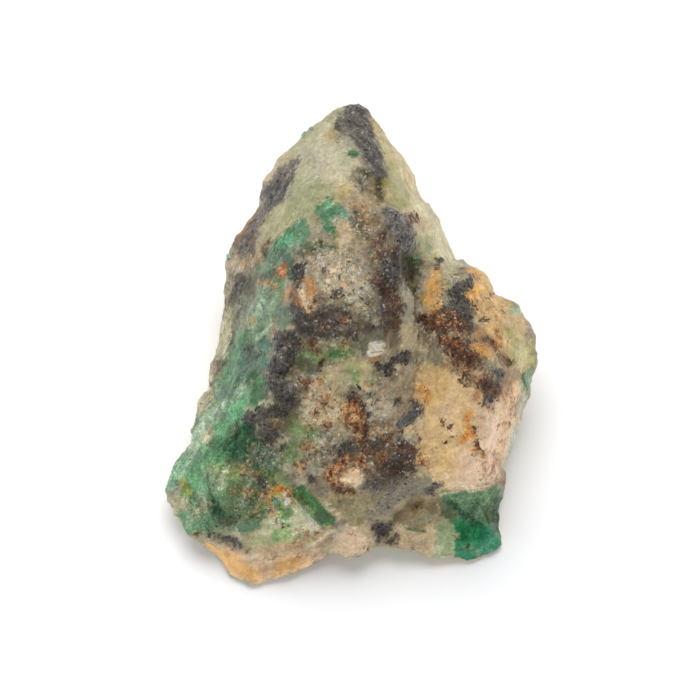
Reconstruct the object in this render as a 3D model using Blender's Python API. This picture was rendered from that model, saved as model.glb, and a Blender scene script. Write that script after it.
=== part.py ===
# Rough emerald: one broken piece of emerald-bearing quartz and mica schist, 48 mm long.
# The stone lies on a flat of its broken underside. Its form is laid out as it is seen from above its
# front edge: an outline, high and low points of the side that is seen, and the corners of the underside.
# Each point is (across, down, depth). The first two are on a view 700 units square whose middle is
# (350, 350), and the depth is towards the eye, in tens of units. Ten units are a millimetre where the
# stone is 48.1 mm long.

from math import cos, radians, sin

import bpy
import numpy as np
from mathutils.geometry import delaunay_2d_cdt

STONE_LENGTH = 0.0481
LENGTH_IN_VIEW = 481.0
UNIT = STONE_LENGTH / LENGTH_IN_VIEW
VIEW_MIDDLE = 350.0
EYE_DISTANCE = 2920.0
EYE_ELEVATION = radians(70.0)
FLOOR_DEPTH = -12.0
DEPTH_UNITS = 10.0

# The skin: its first mesh size, the rounds that wear its edges and the depth that they take off, its
# faces at the end, and the height under which the underside is level.
SKIN_SIZE = 0.00038
WORN_ROUNDS = 2
WORN_LOSS = 0.00015
TRIANGLES = 9000
BASE_LEVEL = 0.0003

# What the surface is broken into, as (width, height, seed), the first two in metres: broad swells, and
# the large and small scooped scars of broken quartz.
SWELLS = (0.0055, 0.00030, 3)
SCARS = (0.0034, 0.00048, 11)
SMALL_SCARS = (0.0016, 0.00024, 23)
SWELL_GAIN = 1.5
SCAR_CURVE = 1.2
SCAR_TILT = 0.35
SCAR_SCATTER = 0.4
SCAR_MEAN = 0.3

# How rough it is: the share of the relief at the rim of the seen side, what the hidden side gains with
# its turn away from the eye, and the height over which the relief fades to the level underside.
RIM_SHARE = 0.45
HIDDEN_ROUGHER = 1.8
LEVEL_FADE = (0.0003, 0.0018)

# How far the edge of a raised or sunk form reaches out and in, in view units.
EDGE_OUT = 4.0
EDGE_IN = 6.5

# Odd factors that mix the numbers of a cell into its random values.
CELL_FACTORS = (73856093, 19349663, 83492791)
SEED_FACTOR = 2654435761
TURN_FACTORS = (2246822519, 3266489917, 668265263)
LOW_BITS = 0xFFFFFFFF

# How the triangulation is cut: faces inside the outline only, and the gap that counts as one point.
INSIDE_FACES = 1
SAME_POINT = 1e-4

STONE_COLOUR = (0.20, 0.27, 0.19, 1.0)
STONE_ROUGHNESS = 0.55

OUTLINE = [
    # the tip and the glassy right flank
    (358, 104, -4.6), (366, 110, -4.4), (378, 125, -3.6), (391, 142, -3.2), (410, 167, -3.0),
    (414, 181, -3.2), (420, 199, -3.6), (431, 210, -3.6), (439, 220, -3.4), (443, 234, -3.2),
    (449, 243, -3.4), (451, 250, -3.6), (461, 262, -2.4),
    # the right shoulder
    (485, 272, -2.0), (490, 282, -2.2), (496, 287, -2.4), (500, 299, -2.6), (516, 305, -2.0),
    (531, 329, -1.4), (536, 336, -1.4), (536, 372, -1.8),
    # the right wall, where a lower sliver shows past the pale lobe
    (532, 381, -2.6), (521, 411, -4.0), (516, 436, -4.6), (510, 458, -5.0), (505, 460, -4.4),
    (503, 468, -4.6), (508, 476, -4.8), (505, 495, -4.6), (500, 503, -4.2),
    # the green foot
    (499, 521, -4.0), (504, 537, -4.0), (503, 548, -4.2), (480, 558, -3.6), (474, 564, -3.3),
    (466, 565, -3.2), (457, 558, -3.0), (449, 557, -3.0), (438, 561, -2.8),
    # the arch under the front edge, and the blunt pale knob beside it
    (413, 551, -2.0), (394, 548, -1.6), (372, 547, -1.4), (366, 555, -1.2), (354, 558, -1.2),
    (333, 553, -2.0),
    # the pale foot
    (313, 566, -2.6), (280, 578, -2.7), (256, 585, -2.6), (245, 582, -2.6), (232, 575, -2.8),
    (218, 557, -3.4), (206, 546, -3.2),
    # the green left corner
    (199, 541, -1.6), (187, 535, -1.4), (178, 519, -2.0), (170, 511, -2.2), (162, 487, -2.6),
    (169, 478, -3.0), (173, 463, -3.2), (183, 450, -3.4), (190, 439, -3.6), (188, 431, -4.0),
    (198, 405, -4.6),
    # the left flank
    (209, 387, -4.8), (210, 366, -5.0), (221, 342, -5.2), (224, 302, -5.4), (227, 280, -5.6),
    (226, 260, -5.6), (234, 239, -5.4), (257, 209, -5.4), (261, 192, -5.0), (267, 176, -5.0),
    (279, 158, -5.0), (301, 139, -5.0), (303, 132, -5.0), (318, 123, -5.0), (335, 110, -4.9),
    (347, 105, -4.8),
]

SEEN_SIDE = {
    "tip": [
        (352, 114, -3.0), (335, 130, -2.0), (366, 135, -0.6), (320, 150, -0.4), (345, 160, 1.8),
        (378, 160, 2.6), (398, 170, 0.4), (281, 178, -2.2), (310, 185, 2.2), (345, 190, 4.4),
        (387, 184, 4.2), (386, 200, 4.8), (408, 203, 1.2),
    ],
    "hollow below the tip": [(364, 178, 3.2), (379, 196, 2.8)],
    "left brow": [
        (262, 222, -2.6), (290, 215, 2.0), (325, 215, 5.6), (245, 258, -2.8), (272, 250, 2.2),
        (240, 300, -3.0), (264, 295, 3.0), (236, 345, -2.4), (257, 345, 2.6), (225, 388, -1.8),
    ],
    "middle mass": [
        (360, 212, 7.2), (393, 213, 6.8), (308, 250, 6.6), (345, 245, 8.8), (380, 245, 9.4),
        (405, 238, 6.4), (403, 262, 6.6), (296, 288, 6.6), (325, 285, 9.0), (360, 283, 10.0),
        (394, 285, 9.0), (310, 318, 8.0), (345, 318, 8.8), (386, 322, 8.4), (408, 325, 6.8),
    ],
    "ledge below the middle mass": [
        (318, 352, 8.0), (352, 356, 8.5), (366, 344, 8.3), (379, 350, 9.0), (392, 368, 7.5),
        (340, 385, 8.3), (310, 382, 7.8), (355, 415, 8.2), (318, 420, 7.7),
    ],
    "dark knobs": [
        (284, 338, 7.2), (298, 344, 6.8), (280, 362, 7.6), (294, 378, 7.2), (278, 394, 7.2), (266, 414, 6.4),
    ],
    "gully beside the middle mass": [
        (424, 228, 0.6), (413, 258, 2.6), (414, 290, 4.0), (420, 325, 4.4), (421, 352, 5.0),
        (418, 385, 5.0), (412, 412, 5.0), (395, 425, 5.6),
    ],
    "right shoulder": [
        (436, 252, 0.8), (440, 285, 4.2), (464, 278, 2.8), (485, 292, 1.0), (445, 318, 6.4),
        (470, 322, 5.8), (500, 322, 3.2), (520, 345, 1.6),
    ],
    "pale lobe": [
        (448, 355, 7.4), (480, 362, 7.6), (508, 372, 4.2), (446, 398, 7.6), (480, 405, 8.2),
        (507, 405, 4.4), (432, 430, 6.6), (450, 445, 7.4), (484, 448, 7.0), (503, 450, 2.6),
        (440, 470, 6.2), (466, 478, 5.8),
    ],
    "lower edge of the lobe": [(444, 489, 4.6), (468, 488, 4.4), (486, 485, 3.6), (498, 476, 2.4)],
    "foot of the step": [(447, 494, 0.6), (470, 493, 0.2), (489, 490, -0.8), (501, 482, -2.0)],
    "green foot": [(458, 515, 0.2), (482, 512, -1.0), (464, 540, -1.4), (490, 535, -2.2), (438, 535, -0.2)],
    "rusty front": [
        (385, 448, 6.6), (345, 448, 7.2), (412, 455, 6.4), (350, 478, 6.6), (390, 482, 5.0),
        (425, 480, 5.0), (310, 455, 6.6),
    ],
    "front slope": [
        (345, 505, 4.4), (310, 492, 5.0), (375, 512, 3.0), (412, 503, 1.6), (384, 528, 0.4),
        (350, 538, 1.2), (412, 530, 0.2), (330, 522, 3.0),
    ],
    "green face": [
        (252, 385, 3.6), (241, 405, 3.2), (212, 428, -0.6), (256, 432, 3.8), (228, 448, 2.6),
        (192, 470, -0.8), (226, 468, 2.6), (262, 468, 4.6), (198, 508, -0.4), (236, 505, 2.6),
        (282, 495, 4.4), (178, 490, -1.6),
    ],
    "front lip": [(222, 538, 0.0), (250, 545, 0.4), (285, 543, 0.8), (318, 537, 1.4), (282, 522, 2.8)],
    "under the lip": [(232, 548, -1.6), (262, 556, -1.2), (300, 550, -0.6)],
}

# Corners of the flat that the stone lies on, as (across, down). Their depth is the floor's.
BASE_CORNERS = [
    (250, 578), (292, 562), (332, 530), (392, 524), (440, 540), (468, 561), (494, 546), (488, 500),
    (494, 455), (480, 400), (462, 345), (430, 302), (378, 278), (318, 276), (275, 302), (252, 352),
    (230, 412), (210, 465), (204, 508), (222, 550),
]

# Shallow hollows in that flat, as (across, down, height above the floor).
BASE_HOLLOWS = [
    (300, 470, 1.6), (282, 430, 0.9), (322, 505, 1.2), (418, 440, 1.4), (440, 480, 0.9), (392, 402, 0.8),
    (330, 330, 1.3), (362, 312, 0.7),
]

HIDDEN_SIDE = {
    "under the tip": [
        (352, 148, -8.2), (338, 190, -10.6), (372, 196, -9.6), (318, 236, -13.0), (384, 240, -11.8),
    ],
    "under the brow": [(302, 178, -7.8), (284, 222, -9.4), (252, 262, -8.6), (258, 300, -12.6)],
    "under the right flank": [(402, 198, -7.0), (424, 246, -9.2), (452, 282, -8.4)],
    "left wall": [(238, 330, -8.6), (236, 378, -10.6), (214, 425, -7.4), (190, 482, -5.6)],
    "right wall": [(486, 312, -6.4), (510, 346, -6.6), (496, 372, -10.6), (514, 398, -6.8), (500, 440, -7.4)],
}

# Smaller forms of the seen side: millimetres that they rise or sink, and lines of (across, down, half width).
RELIEF = {
    "dark knobs": (0.5, [
        [(291, 344, 13), (280, 364, 13)], [(281, 386, 14), (284, 392, 13)], [(270, 430, 12)], [(254, 418, 8)],
    ]),
    "crack between the knobs": (-0.4, [[(272, 372, 3), (292, 374, 3)]]),
    "hollows below the tip": (-0.6, [[(361, 174, 7), (364, 184, 8)], [(380, 184, 6), (381, 198, 5)]]),
    "weathered mica": (-0.35, [
        [(292, 156, 7), (281, 190, 9)], [(352, 120, 12), (366, 142, 9), (376, 165, 8)],
    ]),
    "recess beside the middle mass": (-0.7, [[(407, 262, 7), (411, 280, 9)]]),
    "lumps of the middle mass": (0.5, [
        [(330, 262, 9)], [(352, 274, 9)], [(334, 290, 8)], [(366, 292, 9)], [(350, 246, 7)],
        [(306, 292, 8), (308, 304, 7)], [(283, 316, 12)],
    ]),
    "pits of the middle mass": (-0.5, [
        [(320, 248, 6), (336, 247, 5)], [(345, 305, 6), (322, 318, 7)], [(372, 262, 5)],
        [(388, 367, 8), (401, 356, 7)], [(417, 408, 8)],
    ]),
    "pale block": (0.4, [[(374, 349, 5), (384, 348, 5)]]),
    "crease down the gully": (-0.25, [[(419, 286, 5), (420, 320, 5), (423, 342, 5)]]),
    "grey strip": (0.3, [[(407, 292, 7), (407, 335, 7)]]),
    "mica band": (0.4, [[(425, 484, 6), (398, 499, 9), (374, 512, 9)]]),
    "furrow above the mica band": (-0.5, [[(440, 487, 4), (420, 497, 5), (396, 517, 6)]]),
    "pit below the mica band": (-0.4, [[(378, 530, 8), (388, 528, 7)]]),
    "rusty lumps": (0.45, [
        [(356, 418, 8)], [(372, 436, 8)], [(352, 446, 7)], [(390, 452, 8)], [(404, 462, 8)],
        [(376, 470, 7)], [(345, 477, 7), (355, 472, 9)],
    ]),
    "gaps between the rusty lumps": (-0.4, [
        [(364, 440, 4), (362, 458, 4)], [(384, 440, 4)], [(346, 396, 5), (344, 425, 5)],
    ]),
    "lip above the pale foot": (0.4, [[(325, 537, 5), (300, 547, 6), (268, 556, 6), (240, 551, 5)]]),
    "groove under the lip": (-0.45, [[(322, 551, 4), (290, 560, 5), (262, 565, 5)]]),
    "green ridges": (0.35, [
        [(270, 286, 6), (257, 312, 7), (246, 336, 6)], [(243, 378, 6), (231, 402, 8), (212, 424, 8)],
        [(224, 432, 9), (206, 452, 9)], [(222, 484, 8)], [(244, 470, 8)], [(196, 500, 8)],
    ]),
    "green furrows": (-0.35, [
        [(277, 262, 5), (266, 284, 5)], [(262, 340, 6), (250, 362, 7)], [(226, 374, 4), (212, 404, 4)],
        [(238, 436, 5), (222, 466, 4)], [(214, 506, 6)], [(262, 482, 5)], [(230, 522, 6)],
    ]),
    "bar crystal": (0.45, [[(303, 496, 7), (328, 522, 7)]]),
    "quartz beside the bar crystal": (0.35, [[(282, 512, 7)], [(262, 530, 9)], [(304, 526, 5)]]),
    "blocks of the green foot": (0.35, [[(466, 538, 9)], [(488, 541, 8)]]),
    "clefts of the green foot": (-0.4, [
        [(452, 500, 4), (474, 522, 3), (482, 534, 3)], [(476, 532, 3), (479, 556, 3)],
    ]),
    "lumps of the shoulder": (0.3, [
        [(442, 290, 9)], [(476, 290, 8)], [(480, 350, 8)], [(512, 309, 6)], [(500, 338, 8)],
    ]),
    "worn bands of the shoulder": (-0.3, [
        [(462, 280, 6), (458, 300, 8), (438, 322, 7)], [(455, 345, 6), (480, 378, 7), (492, 392, 8)],
    ]),
    "swells of the lobe": (0.25, [
        [(470, 388, 9), (458, 420, 12)], [(488, 470, 10)], [(432, 410, 9)], [(505, 412, 7)],
    ]),
    "dips of the lobe": (-0.25, [
        [(474, 424, 5), (480, 456, 5)], [(432, 372, 7), (428, 400, 5)], [(500, 402, 4), (496, 446, 4)],
    ]),
}
MILLIMETRE = 0.001


def floor_depth(down):
    """Depth of the floor on the line of sight through a height of the view."""
    rise = cos(EYE_ELEVATION) / sin(EYE_ELEVATION) * (VIEW_MIDDLE - down)
    return (FLOOR_DEPTH - rise / DEPTH_UNITS) / (1.0 - rise / EYE_DISTANCE)


def placed(points):
    """Rows of (x, y, z) in metres for rows of (across, down, depth), with the floor at z 0."""
    across, down, depth = np.array(points, float).T
    depth = depth * DEPTH_UNITS
    nearer = (EYE_DISTANCE - depth) / EYE_DISTANCE
    u = (across - VIEW_MIDDLE) * nearer
    v = (VIEW_MIDDLE - down) * nearer
    y = v * sin(EYE_ELEVATION) - depth * cos(EYE_ELEVATION)
    z = v * cos(EYE_ELEVATION) + (depth - FLOOR_DEPTH * DEPTH_UNITS) * sin(EYE_ELEVATION)
    return np.stack([u, y, z], axis=1) * UNIT


def in_view(points):
    """Rows of (across, down) for rows of (x, y, z) in metres: placed the other way round."""
    x, y, z = (points / UNIT).T
    z = z + FLOOR_DEPTH * DEPTH_UNITS * sin(EYE_ELEVATION)
    depth = z * sin(EYE_ELEVATION) - y * cos(EYE_ELEVATION)
    nearer = (EYE_DISTANCE - depth) / EYE_DISTANCE
    rise = y * sin(EYE_ELEVATION) + z * cos(EYE_ELEVATION)
    return np.stack([VIEW_MIDDLE + x / nearer, VIEW_MIDDLE - rise / nearer], axis=1)


def side_faces(points):
    """Triangles between the points of one side of the stone, of which the first are the outline."""
    flat = [(across, -down) for across, down, depth in points]
    rim = len(OUTLINE)
    edges = [(i, (i + 1) % rim) for i in range(rim)]
    _, _, faces, sources, _, _ = delaunay_2d_cdt(flat, edges, [], INSIDE_FACES, SAME_POINT)
    return [[sources[i][0] for i in face] for face in faces]


def chunk_mesh():
    """The faceted chunk: the seen side and the hidden side, joined round the outline."""
    seen = [p for group in SEEN_SIDE.values() for p in group]
    hidden = [p for group in HIDDEN_SIDE.values() for p in group]
    hidden += [(across, down, floor_depth(down)) for across, down in BASE_CORNERS]
    hidden += [(across, down, floor_depth(down) + lift) for across, down, lift in BASE_HOLLOWS]
    rim = len(OUTLINE)
    faces = side_faces(OUTLINE + seen)
    for face in side_faces(OUTLINE + hidden):
        faces.append([i if i < rim else i + len(seen) for i in reversed(face)])
    mesh = bpy.data.meshes.new("chunk")
    mesh.from_pydata(placed(OUTLINE + seen + hidden).tolist(), [], faces)
    return mesh


def evaluated(obj):
    """The mesh that the object's modifiers make, put in place of them."""
    graph = bpy.context.evaluated_depsgraph_get()
    mesh = bpy.data.meshes.new_from_object(obj.evaluated_get(graph))
    obj.modifiers.clear()
    obj.data = mesh
    return mesh


def read_points(mesh):
    points = np.empty(len(mesh.vertices) * 3, np.float32)
    mesh.vertices.foreach_get("co", points)
    return points.reshape(-1, 3).astype(float)


def read_normals(mesh):
    normals = np.empty(len(mesh.vertices) * 3, np.float32)
    mesh.vertex_normals.foreach_get("vector", normals)
    return normals.reshape(-1, 3).astype(float)


def write_points(mesh, points):
    mesh.vertices.foreach_set("co", points.astype(np.float32).ravel())
    mesh.update()


def cell_values(cells, seed):
    """Three numbers from -1 to 1 for each whole-number cell, the same ones each time."""
    a, b, c = (cells[..., k].astype(np.int64) * CELL_FACTORS[k] for k in range(3))
    mixed = a ^ b ^ c ^ (seed * SEED_FACTOR)
    values = []
    for factor in TURN_FACTORS:
        turned = (mixed * factor) & LOW_BITS
        turned ^= turned >> 15
        turned = (turned * SEED_FACTOR) & LOW_BITS
        values.append(2.0 * turned / LOW_BITS - 1.0)
    return np.stack(values, axis=-1)


def swell(points, width, seed):
    """Smooth noise from about -1 to 1: random slopes at the corners of cells, blended between them."""
    scaled = points / width
    base = np.floor(scaled).astype(int)
    inside = scaled - base
    fade = inside**3 * (inside * (inside * 6 - 15) + 10)
    total = np.zeros(len(points))
    for corner in np.ndindex(2, 2, 2):
        slopes = cell_values(base + np.array(corner), seed)
        weight = np.prod(np.where(corner, fade, 1 - fade), axis=1)
        total += weight * np.sum(slopes * (inside - np.array(corner)), axis=1)
    return total * SWELL_GAIN


def scars(points, width, seed):
    """Scooped scars with sharp ridges between them: the lowest of tilted bowls about random centres."""
    scaled = points / width
    base = np.floor(scaled).astype(int)
    height = np.full(len(points), np.inf)
    for step in np.ndindex(3, 3, 3):
        cell = base + np.array(step) - 1
        offset = scaled - cell - 0.5 - SCAR_SCATTER * cell_values(cell, seed)
        tilt = SCAR_TILT * cell_values(cell, seed + 1)
        bowl = SCAR_CURVE * np.sum(offset**2, axis=1) + np.sum(tilt * offset, axis=1) + tilt[:, 0]
        height = np.minimum(height, bowl)
    return height - SCAR_MEAN


def inside_line(places, line):
    """How far each place lies inside a line: the half width at its nearest spot, less the distance to it."""
    nodes = np.array(line, float)
    inside = np.full(len(places), -np.inf)
    for start, end in zip(nodes, nodes[1:] if len(nodes) > 1 else nodes):
        run = end[:2] - start[:2]
        offset = places - start[:2]
        t = np.clip(offset @ run / max(run @ run, SAME_POINT), 0.0, 1.0)
        gap = np.linalg.norm(offset - t[:, None] * run, axis=1)
        inside = np.maximum(inside, start[2] + t * (end[2] - start[2]) - gap)
    return inside


def relief(points):
    """Metres that the smaller forms raise each point of the seen side."""
    places = in_view(points)
    height = np.zeros(len(points))
    for rise, lines in RELIEF.values():
        inside = np.max([inside_line(places, line) for line in lines], axis=0)
        t = np.clip((inside + EDGE_OUT) / (EDGE_OUT + EDGE_IN), 0.0, 1.0)
        height += rise * MILLIMETRE * t * t * (3.0 - 2.0 * t)
    return height


def roughen(mesh):
    """Pushes the surface in and out by its smaller forms, swells and scars, least at the seen side's rim."""
    points = read_points(mesh)
    normals = read_normals(mesh)
    facing = normals @ np.array([0.0, -cos(EYE_ELEVATION), sin(EYE_ELEVATION)])
    more = np.where(facing > 0, 1.0 - RIM_SHARE, -HIDDEN_ROUGHER)
    low, high = LEVEL_FADE
    amount = (RIM_SHARE + more * facing) * np.clip((points[:, 2] - low) / (high - low), 0.0, 1.0)
    push = np.zeros(len(points))
    for pattern, (width, height, seed) in ((swell, SWELLS), (scars, SCARS), (scars, SMALL_SCARS)):
        push += height * pattern(points, width, seed)
    push = push * amount + relief(points) * np.sqrt(np.clip(facing, 0.0, 1.0))
    write_points(mesh, points + normals * (WORN_LOSS + push)[:, None])


def settle(mesh):
    """Levels the underside and puts the origin under the middle of the stone."""
    points = read_points(mesh)
    points[:, 2] = np.where(points[:, 2] < BASE_LEVEL, 0.0, points[:, 2])
    middle = (points.min(axis=0) + points.max(axis=0)) / 2
    points[:, :2] -= middle[:2]
    write_points(mesh, points)


def stone_material():
    material = bpy.data.materials.new("emerald in quartz and schist")
    material.use_nodes = True
    shader = material.node_tree.nodes["Principled BSDF"]
    shader.inputs["Base Color"].default_value = STONE_COLOUR
    shader.inputs["Roughness"].default_value = STONE_ROUGHNESS
    shader.inputs["Metallic"].default_value = 0.0
    material.diffuse_color = STONE_COLOUR
    return material


def build_stone():
    stone = bpy.data.objects.new("rough_emerald", chunk_mesh())
    bpy.context.scene.collection.objects.link(stone)

    remesh = stone.modifiers.new("even skin", "REMESH")
    remesh.mode = "VOXEL"
    remesh.voxel_size = SKIN_SIZE
    smooth = stone.modifiers.new("worn edges", "SMOOTH")
    smooth.iterations = WORN_ROUNDS
    roughen(evaluated(stone))

    decimate = stone.modifiers.new("fewer faces", "DECIMATE")
    decimate.ratio = TRIANGLES / (2 * len(stone.data.polygons))
    decimate.use_collapse_triangulate = True
    mesh = evaluated(stone)
    settle(mesh)
    mesh.materials.clear()
    mesh.materials.append(stone_material())


for old in list(bpy.data.objects):
    bpy.data.objects.remove(old)
build_stone()
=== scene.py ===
from functools import partial
from itertools import combinations
from math import cos, pi, radians, sin

import bpy
import numpy as np
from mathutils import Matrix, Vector


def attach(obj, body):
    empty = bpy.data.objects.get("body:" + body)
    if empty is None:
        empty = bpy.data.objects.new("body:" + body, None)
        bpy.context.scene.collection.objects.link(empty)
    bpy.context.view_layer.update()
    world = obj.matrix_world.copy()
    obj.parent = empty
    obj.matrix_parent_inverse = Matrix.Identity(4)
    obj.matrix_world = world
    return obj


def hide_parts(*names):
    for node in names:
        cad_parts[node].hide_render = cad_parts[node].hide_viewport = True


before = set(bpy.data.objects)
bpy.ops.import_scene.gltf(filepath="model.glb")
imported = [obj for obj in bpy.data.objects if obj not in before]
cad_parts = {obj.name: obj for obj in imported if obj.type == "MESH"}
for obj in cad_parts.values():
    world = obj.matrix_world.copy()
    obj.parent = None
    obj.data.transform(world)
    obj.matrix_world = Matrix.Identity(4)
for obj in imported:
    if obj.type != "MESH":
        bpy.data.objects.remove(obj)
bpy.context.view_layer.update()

mm = 0.001

# The photo's view, from above the stone's front edge. Places on the seen side are (across, down) in steps
# from its upper left corner: pixels of the 700 by 700 picture, a tenth of a millimetre at the aim.
view = {
    "elevation": 70.0,                      # degrees
    "distance": 0.292,                      # metres from the aim
    "width": 0.070,                         # metres seen at the aim
    "aim": (-0.00006, -0.00195, 0.01128),   # metres
    "steps": 700.0,                         # across the view
    "sensor": 36.0,                         # millimetres
    "nearest": 0.01,                        # metres from the lens to the nearest thing that it shows
}
tilt = radians(view["elevation"])
aimPoint = np.array(view["aim"])
viewRight = np.array((1, 0, 0))
viewUp = np.array((0, sin(tilt), cos(tilt)))
viewBack = np.array((0, -cos(tilt), sin(tilt)))      # from the aim to the eye

# The light of the photo: one large softbox overhead, a little behind, and a white room
room = {
    "floorSize": 1.6, "floor": "FCFCFC",    # metres, and white paper
    "glow": 0.055,                          # of the floor, because the photo's shadows are lightened
    "keyFrom": (-0.03, 0.35, 0.94),         # direction of the softbox
    "keyAway": 0.60, "keySize": 0.42,       # metres
    "keyPower": 2.56,                       # watts
    "fill": 0.46, "fillTint": (0.97, 1.0, 1.06),    # the white room
    "keyShare": 0.64,                       # of the light on a level place that is the softbox's
    "onWall": 0.75,                         # of the room's light on a level place that an upright one gets
    "litRange": (0.45, 1.1),                # least and most light that a slope is taken to get
}


def linear(code):
    # sRGB hex to linear colour, by the sRGB curve
    values = np.array([int(code[i:i + 2], 16) for i in (0, 2, 4)]) / 255
    return np.where(values <= 0.04045, values / 12.92, ((values + 0.055) / 1.055) ** 2.4)


def smoothStep(low, high, value):
    # 0 at low, 1 at high, 3t^2 - 2t^3 between them
    t = np.clip((value - low) / (high - low), 0, 1)
    return t * t * (3 - 2 * t)


def toSight(points):
    # Metres to (across, down, depth): steps of the view, and millimetres from the aim towards the eye
    offset = points - aimPoint
    rise = offset[:, 1] * viewUp[1] + offset[:, 2] * viewUp[2]
    depth = offset[:, 2] * viewBack[2] + offset[:, 1] * viewBack[1]
    scale = view["steps"] / view["width"] * view["distance"] / (view["distance"] - depth)
    half = view["steps"] / 2
    return np.stack([half + offset[:, 0] * scale, half - rise * scale, depth / mm], axis=1)


# Large odd numbers that stir whole numbers up, until they look random
cellStir = (73856093, 19349663, 83492791)
valueStir = (2246822519, 3266489917, 668265263)
seedStir = 2654435761
lowBits = 0xFFFFFFFF


def cellValues(cells, seed):
    # Three numbers from -1 to 1 for each cell: its whole numbers and the seed, each times an odd number,
    # joined bit by bit and stirred once more for each of the three
    a, b, c = (cells[..., k].astype(np.int64) * cellStir[k] for k in range(3))
    together = a ^ b ^ c ^ (seed * seedStir)
    values = []
    for factor in valueStir:
        stirred = (together * factor) & lowBits
        stirred ^= stirred >> 15
        stirred = (stirred * seedStir) & lowBits
        values.append((stirred >> 8) / float(1 << 23) - 1.0)
    return np.stack(values, axis=-1)


def swell(points, width, seed):
    # Gradient noise: random slopes at cell corners, blended by 6t^5 - 15t^4 + 10t^3, times 1.5
    scaled = points / width
    base = np.floor(scaled).astype(int)
    inside = scaled - base
    fade = inside**3 * (inside * (inside * 6 - 15) + 10)
    total = np.zeros(len(points))
    for corner in np.ndindex(2, 2, 2):
        slopes = cellValues(base + np.array(corner), seed)
        weight = np.prod(np.where(corner, fade, 1 - fade), axis=1)
        total += weight * np.sum(slopes * (inside - np.array(corner)), axis=1)
    return total * 1.5


def cloud(points, width, seed, rounds=4, rough=0.55):
    # Swells added up, each half as wide as the last and rough times as high, over the root of the summed
    # squares
    total, height, squares = 0, 1.0, 0.0
    for k in range(rounds):
        total = total + height * swell(points, width / 2**k, seed + 17 * k)
        squares += height * height
        height *= rough
    return total / squares**0.5


# In cells: how far a scar's centre strays, its tilt, how steep its bowl is, and the level of no change
scarShape = {"stray": 0.4, "tilt": 0.35, "steep": 1.2, "level": 0.3}


def scars(points, width, seed):
    # Scooped scars with ridges between: the lowest of tilted bowls about random centres, one to a cell.
    # A bowl is steep * distance^2 + tilt * offset + the tilt's first number.
    scaled = points / width
    base = np.floor(scaled).astype(int)
    height = np.full(len(points), np.inf)
    for step in np.ndindex(3, 3, 3):
        cell = base + np.array(step) - 1
        offset = scaled - cell - 0.5 - scarShape["stray"] * cellValues(cell, seed)
        tilts = scarShape["tilt"] * cellValues(cell, seed + 1)
        bowl = scarShape["steep"] * np.sum(offset**2, axis=1)
        height = np.minimum(height, bowl + np.sum(tilts * offset, axis=1) + tilts[:, 0])
    return height - scarShape["level"]


def along(points, direction, share):
    # The points pressed together along one direction, so that noise at them is drawn out along it
    axis = np.array(direction) / np.linalg.norm(direction)
    return points - (1 - share) * (points @ axis)[:, None] * axis


def insideLine(places, line, reach):
    # How far each place lies inside a line, in steps: the half-width at the line's nearest spot, less the
    # way to it, or -reach beyond the reach. The line holds across, down and half-width for each point in
    # turn.
    nodes = np.array(line, float).reshape(-1, 3)
    starts, ends = (nodes, nodes) if len(nodes) == 1 else (nodes[:-1], nodes[1:])
    found = np.full(len(places), -float(reach))
    for start, end in zip(starts, ends):
        wide = max(start[2], end[2]) + reach
        low, high = np.minimum(start, end)[:2] - wide, np.maximum(start, end)[:2] + wide
        near = np.flatnonzero(np.all((places[:, :2] > low) & (places[:, :2] < high), axis=1))
        run = end[:2] - start[:2]
        offset = places[near, :2] - start[:2]
        t = np.clip(offset @ run / max(run @ run, 1e-9), 0, 1)
        gap = np.hypot(*(offset - t[:, None] * run).T)
        found[near] = np.maximum(found[near], start[2] + t * (end[2] - start[2]) - gap)
    return found


def insideLines(places, lines, reach):
    # How far each place lies inside the nearest of the lines
    return np.max([insideLine(places, line, reach) for line in lines], axis=0)


def readPoints(mesh):
    points = np.empty(len(mesh.vertices) * 3, np.float32)
    mesh.vertices.foreach_get("co", points)
    return points.reshape(-1, 3).astype(float)


def readNormals(mesh):
    normals = np.empty(len(mesh.vertices) * 3, np.float32)
    mesh.vertex_normals.foreach_get("vector", normals)
    return normals.reshape(-1, 3).astype(float)


def writePoints(mesh, points):
    mesh.vertices.foreach_set("co", points.astype(np.float32).ravel())
    mesh.update()


def keepValues(mesh, name, values):
    # One number or one colour for each point, for the materials to read
    if values.ndim == 1:
        mesh.attributes.new(name, "FLOAT", "POINT").data.foreach_set("value", values.astype(np.float32))
    else:
        four = np.column_stack([values, np.ones(len(values))]).astype(np.float32)
        mesh.attributes.new(name, "FLOAT_COLOR", "POINT").data.foreach_set("color", four.ravel())


def newPiece(name, mesh):
    piece = bpy.data.objects.new(name, mesh)
    bpy.context.scene.collection.objects.link(piece)
    return piece


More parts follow.
